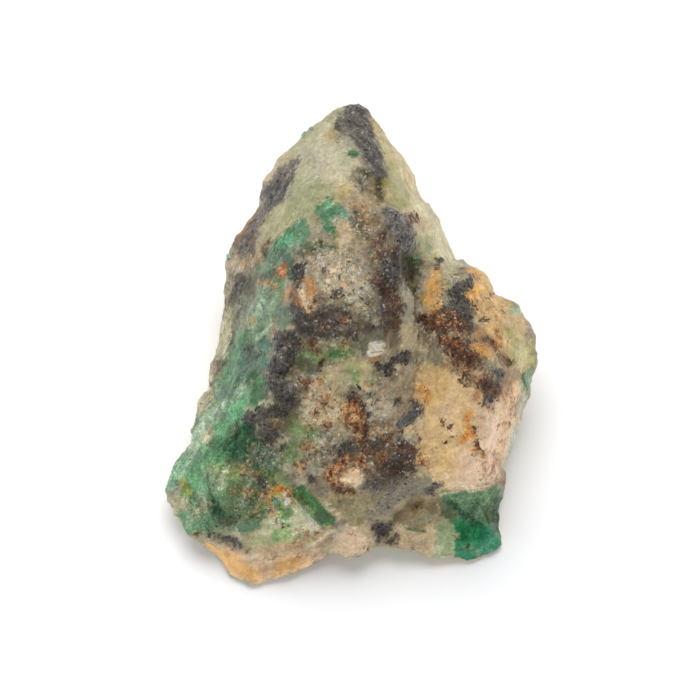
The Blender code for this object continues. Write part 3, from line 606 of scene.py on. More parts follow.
    ("lineGrey", 2.5, 0.22, (440, 485, 2, 430, 490, 5, 418, 497, 4, 406, 506, 3, 394, 519, 5)),
    ("nub", 4, 1, (344, 545, 10, 358, 541, 11, 350, 534, 8)),
    ("lowBeige", 5, 1, (366, 528, 6), (398, 536, 10, 416, 542, 12, 430, 552, 9)),
    ("lowOlive", 4, 1, (402, 516, 7, 420, 508, 9, 438, 504, 7)),
    ("lowCeladon", 4, 0.6, (424, 514, 5, 430, 518, 4)),
    ("lowYellow", 6, 1, (436, 520, 5, 430, 534, 5, 432, 550, 7)),
    ("lowCeladon", 4, 1, (444, 528, 7, 447, 545, 9, 440, 556, 6)),
    ("glassGreen foot", 5, 1, (452, 500, 10, 470, 502, 16, 486, 500, 18, 490, 520, 16, 488, 545, 16),
     (462, 520, 10, 464, 545, 14, 470, 558, 10)),
    ("lowCeladon", 5, 0.9, (444, 528, 9, 446, 546, 9)),
    ("emerald", 3, 0.7, (476, 502, 4, 468, 512, 3)),
    # the dark green down the foot's right edge, here and in the deepGreen and darkestGreen strokes at 497
    # across, is painted shade of the side turned from the light
    ("footShade", 4, 0.8, (494, 500, 6, 492, 512, 7, 494, 528, 5)),
    ("deepGreen", 2, 0.9, (498, 500, 3, 498, 528, 4)),
    ("mottled", 2.5, 0.9, (494, 492, 5), (446, 512, 4, 452, 519, 4)),
    ("deepGreen", 2.5, 0.9, (449, 499, 2, 458, 509, 3.5, 472, 522, 4, 480, 530, 3)),
    ("vivid foot", 3, 1, (460, 525, 7, 466, 536, 10, 464, 550, 9, 478, 530, 8), (478, 540, 8)),
    ("teal foot", 3, 1, (488, 533, 7, 490, 545, 10, 500, 545, 7), (460, 558, 6, 474, 561, 6),
     (484, 552, 7)),
    ("darkestGreen", 2.5, 0.75, (497, 505, 2.5, 496, 518, 3, 497, 531, 2.5)),
    ("cornerMint", 1.5, 0.8, (479, 552, 2.5), (441, 557, 2)),
    ("lowYellow", 1.5, 0.7, (456, 535, 2)),
    ("needle crisp", 0.8, 1, (403, 527, 0.5, 408, 528.5, 1, 416, 530, 1.2, 425, 531, 1)),
    # a painted highlight along the lobe's lower edge, and pale lines on the foot
    ("lightLine crisp", 0.8, 0.8, (440, 495, 0.7, 452, 494, 0.8, 462, 491, 0.8, 474, 489, 0.7,
     486, 487, 0.7)),
    ("lightLine crisp", 0.8, 0.6, (437, 502, 0.5, 439, 512, 0.6), (441, 558, 0.8, 453, 556, 0.8)),
    # last touches of light and shade between the minerals
    ("darkOlive", 4, 0.6, (230, 300, 5), (286, 430, 5), (327, 345, 5), (295, 372, 5), (336, 505, 5),
     (259, 279, 6)),
    ("umber", 4, 0.55, (268, 421, 6), (323, 293, 5), (297, 299, 5), (300, 284, 4), (359, 338, 5),
     (501, 381, 4), (439, 487, 4), (402, 289, 3), (387, 427, 5), (394, 375, 5), (327, 462, 5),
     (414, 476, 5)),
    ("cream", 4, 0.5, (337, 384, 4), (360, 284, 5), (356, 189, 4)),
    ("peachWhite", 5, 0.7, (445, 411, 6, 448, 425, 6)),
    ("lobe", 4, 0.6, (421, 439, 5)),
    ("tan", 4, 0.65, (499, 480, 4), (386, 466, 4), (423, 227, 5), (418, 316, 2), (416, 280, 3),
     (376, 257, 5), (375, 306, 5), (324, 271, 5), (518, 374, 5), (414, 283, 3)),
    ("paleCeladon", 4, 0.6, (436, 549, 6), (224, 354, 4)),
    ("lobePink", 4, 0.6, (318, 553, 5), (266, 569, 8)),
    ("sageLight", 4, 0.6, (222, 418, 6), (200, 500, 6), (190, 520, 5), (291, 458, 4)),
    ("mintPale", 3, 0.5, (175, 489, 5)),
    ("leaf", 4, 0.6, (222, 455, 5)),
    ("greenShade", 4, 0.6, (235, 370, 6), (268, 354, 5), (262, 391, 5)),
    ("emeraldDim", 3, 0.6, (300, 230, 5)),
    ("grass", 4, 0.6, (268, 487, 6)),
    ("mottled", 4, 0.6, (262, 501, 6)),
    ("greyStone", 4, 0.7, (344, 148, 5), (280, 160, 3), (367, 117, 3)),
    ("micaGrey", 3, 0.6, (343, 133, 4), (340, 112, 3)),
    ("amber", 2, 0.7, (471, 298, 4)),
    ("tanLight", 4, 0.65, (424, 227, 5), (406, 512, 6), (357, 247, 5), (348, 418, 4)),
    ("blockEdge", 3, 0.6, (348, 418, 5), (376, 360, 2), (360, 458, 4), (363, 413, 3)),
    ("lowYellow", 4, 0.5, (421, 512, 5)),
    ("lobeYellow", 4, 0.6, (491, 410, 4)),
    ("tanLight", 4, 0.8, (517, 419, 5), (391, 439, 3)),
    ("stain", 3, 0.5, (419, 457, 3)),
    ("paleGreen", 4, 0.7, (337, 197, 6)),
    ("cream", 4, 0.4, (351, 176, 5), (204, 401, 4), (212, 388, 4)),
    ("mintPale", 4, 0.5, (209, 476, 5), (491, 555, 4)),
    ("teal", 4, 0.35, (500, 536, 4)),
    ("slopeOlive", 4, 0.5, (344, 222, 4)),
    ("redBrown", 4, 0.85, (454, 316, 6)),
    ("sage", 3, 0.5, (198, 426, 4)),
    ("leafDark", 3, 0.6, (252, 407, 4)),
    ("quartzGreen", 3, 0.5, (274, 290, 4)),
    ("bits", 3, 0.5, (307, 514, 4), (279, 530, 4)),
    ("oliveCeladon", 4, 0.6, (310, 543, 5)),
    ("yellowGreen", 4, 0.6, (237, 478, 5)),
]

# Where each mineral lies on the seen side: softness of the edge in steps, strength, and lines. Silver is
# mica that shines, coarse is rock of large grains, and grain is loose quartz, with one painted glint.
minerals = {
    "mica": [
        (4, 0.85, (354, 109, 8, 357, 122, 11, 364, 138, 8, 371, 152, 8, 377, 170, 6)),
        (3, 1, (343, 117, 4, 341, 126, 4), (355, 104, 4, 360, 111, 3)),
        (3, 0.85, (297, 161, 2, 291, 169, 5, 286, 178, 7), (282, 187, 6.5, 272, 198, 8.5, 268, 205, 5)),
        (4, 0.55, (262, 214, 6, 252, 228, 8, 244, 246, 7), (244, 282, 6, 234, 298, 5)),
        (3, 0.6, (250, 349, 4, 250, 357, 3)),
        (2, 0.95, (252, 250, 4), (246, 246, 2), (230, 302, 2.5), (211, 384, 1.8), (259, 354, 3)),
        (3, 0.9, (388, 211, 4, 395, 220, 7, 403, 234, 9, 406, 248, 7)),
        (5, 0.6, (394, 262, 10, 388, 282, 11, 390, 302, 7, 392, 322, 9), (400, 308, 4)),
        (3, 0.45, (406, 262, 5, 409, 276, 6)),
        (3, 1, (281, 337, 6, 293, 338, 9, 286, 350, 12, 284, 360, 10, 276, 369, 8)),
        (3, 1, (272, 379, 6, 280, 386, 11, 286, 396, 8, 293, 401, 5)),
        (3, 0.95, (282, 410, 6, 270, 412, 6, 258, 416, 7, 248, 419, 4)),
        (4, 0.8, (268, 426, 8, 270, 438, 8, 263, 430, 4)),
        (4, 0.56, (296, 309, 5, 304, 324, 9, 316, 318, 8, 330, 312, 8, 344, 320, 8)),
        (4, 0.6, (352, 330, 7, 354, 342, 5)),
        (4, 0.6, (312, 334, 8, 326, 332, 7, 340, 330, 5)),
        (2, 1, (394, 360, 5, 402, 356, 6.5, 409, 353, 3), (389, 368, 6), (405, 363, 2.5),
         (376, 365, 1.5, 384, 371, 2)),
        (3, 0.9, (372, 397, 2, 377, 397, 2), (398, 402, 3), (358, 389, 3)),
        (4, 0.82, (402, 446, 8, 407, 455, 9, 411, 465, 5, 396, 464, 7)),
        (5, 0.7, (388, 468, 9, 398, 474, 8), (352, 398, 6, 362, 430, 8), (370, 446, 6, 378, 446, 6),
         (338, 452, 6, 349, 446, 6), (326, 452, 2)),
        (4, 0.6, (368, 485, 5, 378, 482, 6), (332, 468, 5), (312, 478, 4)),
        (3, 0.9, (470, 277, 2.5, 466, 286, 5, 456, 292, 5), (457, 298, 8, 463, 310, 8, 469, 328, 5)),
        (3, 0.6, (470, 340, 3.5, 478, 340, 2.5, 486, 341, 1.5), (468, 352, 5, 480, 362, 6)),
        (3, 0.45, (489, 381, 4, 495, 388, 8)),
        (3, 0.9, (499, 375, 5), (488, 399, 5, 484, 404, 2), (425, 320, 5)),
        (2, 1, (434, 487, 4, 428, 491, 3), (440, 260, 2, 436, 265, 2.5)),
        (3, 0.95, (374, 527, 5, 384, 531, 7, 392, 524, 3), (391, 541, 3.5, 396, 536, 1.5)),
        (3, 0.5, (380, 540, 5), (386, 484, 8, 402, 480, 8), (366, 326, 6)),
        (3, 0.32, (409, 490, 10, 392, 501, 10)),
        (3, 0.62, (221, 523, 4, 231, 524, 4, 239, 520, 2),
         (215, 535, 4, 228, 538, 5, 238, 545, 4, 247, 550, 2)),
        (2, 0.95, (260, 479, 3, 264, 485, 4), (300, 267, 3, 298, 276, 4)),
        (4, 0.14, (262, 456, 13, 256, 478, 12, 246, 502, 14, 256, 512, 8)),
        (3, 0.9, (336, 291, 5), (324, 271, 2), (340, 276, 2), (348, 263, 2.5)),
    ],
    "rust": [
        (3, 0.8, (408, 216, 3, 413, 219, 4, 409, 226, 2.5), (343, 322, 4), (322, 328, 3)),
        (3, 0.7, (304, 345, 3, 312, 344, 4, 318, 350, 3), (320, 361, 3, 318, 368, 2.5),
         (300, 378, 3, 308, 384, 3)),
        (2, 0.75, (383, 232, 1.2, 377, 243, 1.8), (388, 228, 1, 384, 238, 1.2),
         (396, 246, 1, 391, 254, 1.6), (381, 256, 2)),
        (4, 0.5, (381, 250, 7), (380, 284, 8, 388, 292, 7), (370, 278, 5)),
        (2, 0.9, (325, 405, 2.5), (314, 410, 2, 315, 414, 2), (322, 427, 1.2, 333, 424, 1.5),
         (313, 427, 1.5), (321, 382, 1.5)),
        (2, 0.65, (300, 284, 2, 298, 293, 1.5), (313, 303, 2, 309, 314, 1.5), (318, 287, 2)),
        (4, 0.7, (356, 400, 5, 362, 416, 4, 362, 434, 7), (346, 424, 3)),
        (3, 0.3, (374, 432, 5, 386, 438, 4), (342, 460, 5, 352, 462, 3)),
        (5, 0.5, (372, 452, 6, 382, 456, 9), (412, 448, 7), (386, 440, 6)),
        (3, 0.8, (328, 473, 4, 334, 484, 4, 344, 491, 2.5, 356, 492, 2),
         (336, 466, 3, 350, 463, 2.5, 362, 462, 2)),
        (4, 0.34, (312, 320, 7, 330, 322, 8, 344, 318, 5)),
        (4, 0.5, (394, 300, 9, 392, 318, 8), (400, 449, 7, 408, 462, 7, 394, 472, 6)),
        (4, 0.45, (310, 446, 6, 314, 452, 4), (298, 466, 5), (340, 462, 7), (262, 248, 5), (270, 244, 4)),
        (3, 0.85, (424, 320, 4, 432, 326, 6, 444, 332, 6), (436, 316, 5, 452, 320, 8, 462, 328, 7)),
        (3, 0.9, (444, 340, 5, 454, 346, 8, 460, 358, 8, 470, 366, 5), (455, 362, 3)),
        (3, 0.55, (470, 352, 6, 478, 362, 5)),
        (3, 0.65, (486, 385, 7, 494, 392, 4), (466, 372, 3, 470, 380, 2)),
        (1.6, 0.9, (459, 378, 0.9, 468, 387, 1.2), (462, 372, 1, 472, 384, 1),
         (484, 404, 1.5, 493, 411, 1)),
        (1.6, 0.8, (474, 428, 2, 475, 431, 1.5), (475, 440, 1.5, 476, 448, 2),
         (480, 450, 2.8, 482, 455, 2), (474, 456, 1)),
        (1.2, 0.9, (442, 420, 1.2, 443, 424, 0.7), (445, 427, 0.8, 451, 427, 0.8),
         (449, 440, 1.2, 444, 445, 1.8), (452, 439, 1)),
        (1.2, 0.95, (415, 431, 1.2), (416, 437, 1, 419, 440, 1.2), (434, 449, 1.2), (424, 465, 1.8),
         (402, 432, 1.5)),
        (3, 0.4, (512, 396, 4, 513, 414, 4), (506, 424, 3)),
        (1.4, 0.95, (478, 323, 1, 483, 320, 1.2, 489, 321, 1), (472, 304, 2), (476, 313, 2),
         (488, 298, 1, 492, 294, 1)),
        (3, 0.6, (498, 335, 3), (492, 343, 4, 499, 344, 3), (502, 354, 4, 508, 362, 4), (496, 350, 3)),
        (1.2, 0.95, (366, 549, 1.6), (371, 545, 1), (413, 548, 1.6), (420, 505, 1.2), (417, 508, 0.8),
         (468, 547, 1.8)),
        (1.4, 0.9, (283, 525, 1.4), (198, 535, 2), (210, 442, 1.2), (217, 376, 1.6), (338, 142, 1),
         (262, 457, 1.4)),
        (4, 0.3, (316, 290, 7), (323, 294, 6), (300, 500, 6)),
    ],
    "ochre": [
        (4, 0.6, (256, 257, 4), (243, 265, 4), (350, 204, 3, 364, 207, 3), (363, 220, 3), (346, 320, 3)),
        (4, 0.35, (306, 300, 10)),
        (5, 0.26, (326, 262, 12, 340, 280, 14)),
        (3, 0.55, (274, 421, 4), (270, 412, 3), (273, 327, 2), (283, 272, 5)),
        (4, 0.55, (324, 400, 8), (318, 384, 4), (328, 426, 6), (308, 446, 7), (300, 466, 6),
         (345, 345, 4)),
        (4, 0.95, (350, 408, 8, 355, 420, 8, 357, 433, 5), (336, 472, 6, 331, 478, 6), (421, 460, 4)),
        (4, 0.6, (346, 464, 6), (382, 456, 5), (361, 458, 7)),
        (3, 0.8, (360, 458, 5), (348, 418, 4)),
        (3, 0.3, (492, 410, 4)),
        (3, 0.42, (236, 468, 4, 257, 475, 5), (238, 492, 5, 260, 494, 5), (262, 500, 4, 256, 512, 5)),
        (2, 0.75, (269, 490, 3, 277, 486, 3, 285, 491, 2, 288, 498, 2), (268, 498, 3, 271, 514, 2.5)),
        (2, 0.9, (299, 531, 1.5, 307, 534, 2), (315, 531, 1.6), (275, 517, 2), (254, 533, 2)),
        (4, 0.35, (298, 545, 8)),
        (4, 0.5, (424, 388, 4, 424, 400, 5), (501, 398, 5), (468, 420, 5, 464, 438, 7), (420, 456, 8)),
        (4, 0.35, (438, 318, 9)),
        (3, 0.62, (492, 458, 8, 488, 474, 8), (484, 418, 2), (478, 454, 6), (503, 440, 3)),
        (1.5, 1, (499, 427, 1.8), (503, 312, 2), (353, 534, 2), (357, 537, 1.2), (444, 392, 2)),
        (4, 0.6, (500, 334, 5, 498, 346, 4), (476, 276, 5), (478, 350, 6)),
    ],
    "beryl": [
        (4, 0.7, (262, 456, 12, 256, 478, 12, 246, 500, 13)),
        (4, 1, (326, 204, 6, 330, 214, 10, 330, 228, 7), (303, 222, 6, 288, 242, 11, 278, 256, 9)),
        (6, 0.8, (276, 268, 12, 256, 312, 18, 242, 350, 18, 226, 392, 18, 204, 440, 20, 184, 474, 16)),
        (5, 1, (240, 412, 14, 244, 438, 14, 226, 452, 14), (216, 470, 16, 196, 500, 14, 200, 524, 12)),
        (2, 1, (301, 495, 7, 331, 526, 7), (240, 527, 5, 255, 523, 4), (351, 154, 5), (284, 512, 8)),
        (3, 1, (466, 500, 12, 484, 510, 14, 484, 540, 14, 464, 540, 12), (526, 380, 7), (476, 522, 6)),
        (4, 0.5, (320, 356, 12, 348, 352, 8), (262, 386, 10), (290, 450, 10)),
    ],
    "silver": [
        (5, 1, (352, 108, 12, 357, 124, 14), (300, 150, 8, 284, 168, 12)),
        (5, 0.65, (366, 146, 12, 376, 170, 12)),
        (5, 0.5, (280, 184, 10, 270, 204, 10)),
        (6, 0.32, (300, 318, 9, 342, 322, 9), (286, 345, 10, 282, 388, 12)),
        (5, 0.9, (262, 214, 10, 246, 242, 12), (390, 210, 10, 404, 240, 12), (400, 500, 22, 432, 486, 8)),
    ],
    "coarse": [
        (8, 0.95, (322, 250, 14, 340, 275, 24, 358, 300, 16), (385, 250, 12, 388, 300, 12)),
        (8, 0.8, (320, 330, 16, 348, 330, 14), (310, 385, 16, 325, 410, 20, 318, 450, 18)),
        (8, 0.9, (365, 410, 18, 375, 455, 24, 402, 458, 20),
         (455, 285, 14, 440, 325, 16, 465, 360, 14, 490, 388, 12)),
        (8, 0.9, (262, 460, 20, 248, 505, 18), (285, 510, 18, 305, 525, 14),
         (355, 215, 14, 375, 235, 14)),
        (6, 0.55, (350, 508, 16, 376, 506, 14, 330, 490, 10)),
        (6, 0.6, (250, 225, 8, 240, 262, 10, 232, 320, 12), (385, 385, 22), (475, 285, 12, 500, 340, 14)),
    ],
    "grain": [
        (7, 0.5, (322, 258, 9, 334, 272, 16, 352, 286, 14), (364, 288, 9), (318, 290, 6)),
        (4, 0.22, (328, 160, 18)),
        (4, 0.5, (372, 411, 8, 386, 406, 8), (345, 168, 10), (364, 182, 4)),
        (1.5, 1, (275, 352, 2.2, 274, 356, 2.2), (303, 288, 3), (307, 302, 3),
         (239, 307, 1.2, 242, 305, 1)),
        # the spot at (292, 364) is a painted glint
        (2.5, 0.8, (299, 378, 3, 303, 376, 2), (314, 374, 2.5), (335, 414, 2.5), (292, 364, 1.5)),
        (4, 0.25, (268, 456, 12), (400, 455, 13)),
        (4, 0.35, (362, 412, 5), (300, 440, 8), (218, 484, 8), (400, 500, 12), (455, 320, 10)),
        (4, 0.3, (250, 478, 8, 250, 496, 10), (262, 456, 9), (222, 480, 6)),
    ],
    "rightRun": [   # not a mineral: where the schist's grain runs down to the right
        (12, 1, (346, 100, 14, 362, 130, 20, 378, 180, 16), (400, 160, 16, 432, 240, 18)),
        (20, 1, (470, 280, 50, 480, 380, 60, 470, 500, 55)),
    ],
}

toneShape = {
    "vivid": 1.13,                          # how much a tone's difference from grey grows
    "greyOf": (0.21, 0.72, 0.07),           # the eye's weights of red, green and blue
    "darkest": 0.003,
}

# Where a mineral's and a tone's stroke begin and are full, and how far they reach, as shares of the
# softness
strokeEdge = {"mineral": (-1.6, 1.0), "tone": (-0.7, 0.7), "reach": 2.5}

# The step under the lobe: millimetres towards the eye at its top and foot, and its drop to the right
footStep = {"top": 2.9, "foot": 2.3, "at": 444, "drop": 0.044, "across": (425, 435), "down": (455, 475)}


def vivid(code):
    # A tone in linear colour: grey, and its difference from grey made greater
    tone = linear(code)
    grey = tone @ np.array(toneShape["greyOf"])
    return np.maximum(grey + toneShape["vivid"] * (tone - grey), toneShape["darkest"])


def lit(normals):
    # The light on a slope, about 1 where it is level: the softbox's share by the cosine of the turn from
    # it, and the room's share, from a wall's to a level place's by the normal's height
    key = np.array(room["keyFrom"]) / np.linalg.norm(room["keyFrom"])
    walls = room["onWall"] + (1 - room["onWall"]) * normals[:, 2]
    total = room["keyShare"] * np.clip(normals @ key, 0, 1) + (1 - room["keyShare"]) * walls
    return np.clip(total, *room["litRange"])


def density(places, strokes, ragged):
    # The greatest of the strokes' strengths at each place, each fading over its softness at the edge
    total = np.zeros(len(places))
    begin, full = strokeEdge["mineral"]
    for soft, strength, *lines in strokes:
        inside = insideLines(places, lines, strokeEdge["reach"] * soft)
        total = np.maximum(total, strength * smoothStep(begin * soft, full * soft, inside + ragged * soft))
    return total


def onFoot(sight):
    # 1 on the green foot, below the step under the lobe, and 0 above the step
    across, down, depth = sight.T
    step = depth + footStep["drop"] * (across - footStep["at"])
    below = smoothStep(footStep["top"], footStep["foot"], step)
    return below * smoothStep(*footStep["across"], across) * smoothStep(*footStep["down"], down)


def paintTones(places, sight, ragged, ground):
    # The tones of the seen side over the ground colour, one stroke on the other. A crisp stroke keeps its
    # drawn edge, and a stroke of the foot or the lobe stays on its own side of the step.
    foot = onFoot(sight)
    part = {"foot": foot, "lobe": 1 - foot, "crisp": 1}
    begin, full = strokeEdge["tone"]
    for words, soft, strength, *lines in paint:
        name, *kinds = words.split()
        where, edge = (sight, 0) if "crisp" in kinds else (places, ragged * soft)
        inside = insideLines(where, lines, strokeEdge["reach"] * soft)
        amount = strength * smoothStep(begin * soft, full * soft, inside + edge)
        for kind in kinds:
            amount = amount * part[kind]
        ground += amount[:, None] * (vivid(tones[name]) - ground)
    return ground


# The rock's ground colour: tone, metres across, seed, noise above which it shows, half-width of its edge
hiddenZones = [
    ("celadon", 0.012, 201, -0.05, 0.25), ("tanLight", 0.010, 202, 0.25, 0.20),
    ("oliveCeladon", 0.008, 203, 0.25, 0.18), ("granularGrey", 0.006, 204, 0.30, 0.15),
    ("bandOlive", 0.007, 205, 0.50, 0.12), ("greyGreen", 0.006, 206, 0.62, 0.10),
    ("lobe", 0.009, 207, 0.45, 0.15), ("leaf", 0.007, 208, 0.85, 0.10),
]
seenZones = [
    ("granularGrey", 0.004, 221, 0.0, 0.5), ("bandOlive", 0.003, 222, 0.2, 0.4),
    ("tan", 0.0025, 223, 0.35, 0.3), ("shade", 0.0016, 224, 0.45, 0.3),
    ("cream", 0.0014, 225, 0.7, 0.3), ("mottled", 0.002, 226, 0.7, 0.3),
]

# The minerals of the sides that the photo doesn't show, as patches of noise: strength, metres across,
# noise seed, its roughness, and the noise where they begin and are full. Beryl follows the leaf-green
# ground.
hiddenPatches = {
    "rust": (0.75, 0.005, 303, 0.55, 0.35, 1.0), "ochre": (0.7, 0.006, 305, 0.55, 0.1, 0.9),
    "grain": (0.5, 0.005, 307, 0.55, 0.0, 0.9), "beryl": (1.0, 0.007, 208, 0.6, 0.75, 0.95),
}
hiddenBelts = {
    "width": 0.006, "run": (0.6, 0.7, 0.4), "drawn": 0.45,    # metres, and how the schist draws them out
    "mica": (0.25, 0.95), "rust": (-0.3, 0.4),    # the noise where each begins and is full
    "silver": 0.4, "coarse": 0.6, "coarseSeen": 0.3,    # and the least coarseness of the seen side
    "rightRun": (0.003, 0.008),             # metres to the right where the grain starts and ends turning
}


def zoned(points, zones):
    # The ground colour, with each zone laid over the last where its noise is above its level
    tone = np.tile(vivid(tones["ground"]), (len(points), 1))
    for name, width, seed, level, edge in zones:
        amount = smoothStep(level - edge, level + edge, cloud(points, width, seed, 4, 0.6))
        tone += amount[:, None] * (vivid(tones[name]) - tone)
    return tone


def mineralFields(points, places, ragged, seen):
    # How much of each mineral there is at each point: as drawn on the seen side, and by noise on the
    # hidden sides, with mica in belts and rust beside them.
    fields = {name: density(places, strokes, ragged) * seen for name, strokes in minerals.items()}
    hidden = 1 - seen
    belt = along(points, hiddenBelts["run"], hiddenBelts["drawn"])
    belt = cloud(belt, hiddenBelts["width"], 301, 4, 0.6)
    nearBelt = {"rust": smoothStep(*hiddenBelts["rust"], belt)}
    fields["mica"] += hidden * smoothStep(*hiddenBelts["mica"], belt)
    for name, (strength, width, seed, rough, begin, full) in hiddenPatches.items():
        patch = hidden * strength * smoothStep(begin, full, cloud(points, width, seed, 4, rough))
        fields[name] += patch * nearBelt.get(name, 1)
    fields["silver"] += hidden * hiddenBelts["silver"]
    fields["rightRun"] += hidden * smoothStep(*hiddenBelts["rightRun"], points[:, 0])
    drawn = np.maximum(fields["coarse"], hiddenBelts["coarseSeen"])
    fields["coarse"] = hidden * hiddenBelts["coarse"] + seen * drawn
    return fields


def skinTone(points, places, sight, ragged, normals, fields, seen):
    # The rock's colour with some painted shade and highlights: the hidden sides' zones, the seen side's
    # paint over its zones, rust and mica dust on them, all over the light that the photo's tones already hold
    tone = zoned(points, hiddenZones)
    tone += seen[:, None] * (paintTones(places, sight, ragged, zoned(points, seenZones)) - tone)
    rusty = np.clip(fields["rust"], 0, 1)[:, None]
    tone += skin["stain"] * rusty * (linear(tones["stain"]) - tone)
    tone *= 1 - skin["dust"] * np.clip(fields["mica"], 0, 1)[:, None]
    return tone / (lit(normals) ** skin["delit"])[:, None]


def calmness(sight, seen):
    # The share of the relief that stays, where the seen side is smooth
    calm = np.ones(len(sight))
    for share, *lines in quiet:
        inside = insideLines(sight, lines, -skin["quietEdge"][0])
        calm *= 1 + (share - 1) * smoothStep(*skin["quietEdge"], inside) * seen
    return calm


def relief(points, places, fields, calm, seen):
    # Metres that each point is raised: cracks, scars and grit, more where the rock is coarse or hidden,
    # and a crust of mica and rust
    height = np.zeros(len(points))
    for rise, *lines in cracks:
        inside = insideLines(places, lines, -skin["crackEdge"][0])
        height += rise * mm * smoothStep(*skin["crackEdge"], inside) * seen
    rock = skin["scars"][1] * scars(points, skin["scars"][0], 400)
    rock += skin["chips"][1] * scars(points, skin["chips"][0], 401)
    rock += skin["grit"][1] * swell(points, skin["grit"][0], 411)
    rougher = 1 + (skin["hidden"] - 1) * (1 - seen)
    height += rock * calm * (skin["onFine"] + skin["onCoarse"] * fields["coarse"]) * rougher
    crust = skin["crust"][1] * (skin["crustLevel"] - np.abs(cloud(points, skin["crust"][0], 421, 2)))
    crusty = fields["mica"] * (1 - skin["silverCrust"] * fields["silver"])
    crusty += skin["rustCrust"] * fields["rust"]
    return height + crust * crusty + skin["grow"]


def dressSkin():
    # The skin with its relief and fields, and what the strewn pieces need to know of its points
    piece = skinBase()
    mesh = piece.data
    points = shifted(readPoints(mesh))
    writePoints(mesh, points)
    normals = readNormals(mesh)
    toEye = aimPoint + view["distance"] * viewBack - points
    facing = np.sum(normals * toEye, axis=1) / np.linalg.norm(toEye, axis=1)
    seen = smoothStep(*skin["edgeOn"], facing)
    sight = toSight(points)
    print("skin:", len(points), "points,", int(np.sum(facing > 0)), "on the seen side")

    wander = np.stack([cloud(points, skin["wander"][0], seed, 4, 0.7) for seed in (31, 57)], axis=1)
    shake = cellValues(np.floor(points / skin["shake"][0]), 91)[:, :2]
    places = sight[:, :2] + skin["wander"][1] * wander + skin["shake"][1] * shake
    ragged = skin["fray"][1] * cloud(points, skin["fray"][0], 83, 3, 0.8)
    fields = mineralFields(points, places, ragged, seen)
    tone = skinTone(points, places, sight, ragged, normals, fields, seen)
    print("skin: painted")

    calm = calmness(sight, seen)
    fields["coarse"] *= calm
    points += normals * relief(points, places, fields, calm, seen)[:, None]
    points[:, 2] = np.maximum(points[:, 2], 0)
    writePoints(mesh, points)
    keepValues(mesh, "tone", tone)
    for name, values in fields.items():
        keepValues(mesh, name, np.clip(values, 0, 1))
    mesh.polygons.foreach_set("use_smooth", np.ones(len(mesh.polygons), bool))
    return piece, {**fields, "points": points, "normals": readNormals(mesh), "tone": tone, "sight": sight,
                   "facing": facing}


def colour(code):
    return (*linear(code), 1)


# The setting by which each kind of node is told what to do
modeOf = {
    "Math": "operation", "VectorMath": "operation", "MapRange": "interpolation_type", "Mix": "data_type",
    "Mapping": "vector_type", "TexNoise": "noise_dimensions", "Attribute": "attribute_name",
}


def addNode(tree, kind, inputs=(), mode=None, out=0, stops=()):
    # Adds a node and gives back one of its outputs. Each input, by name or in order, is a value or an
    # output to link, and the stops are a colour ramp's, as (place, colour).
    node = tree.nodes.new("ShaderNode" + kind)
    if mode:
        setattr(node, modeOf[kind], mode)
    for k, (place, code) in enumerate(stops):
        ramp = node.color_ramp.elements
        stop = ramp.new(place) if 0 < k < len(stops) - 1 else ramp[min(k, len(ramp) - 1)]
        stop.position, stop.color = place, colour(code)
    for name, value in inputs.items() if isinstance(inputs, dict) else enumerate(inputs):
        if isinstance(value, bpy.types.NodeSocket):
            tree.links.new(value, node.inputs[name])
        else:
            node.inputs[name].default_value = value
    return node.outputs[out] if node.outputs else None


def newMaterial(name):
    # An empty material, and what adds nodes to it
    material = bpy.data.materials.new(name)
    material.use_nodes = True
    material.node_tree.nodes.clear()
    return material, partial(addNode, material.node_tree)


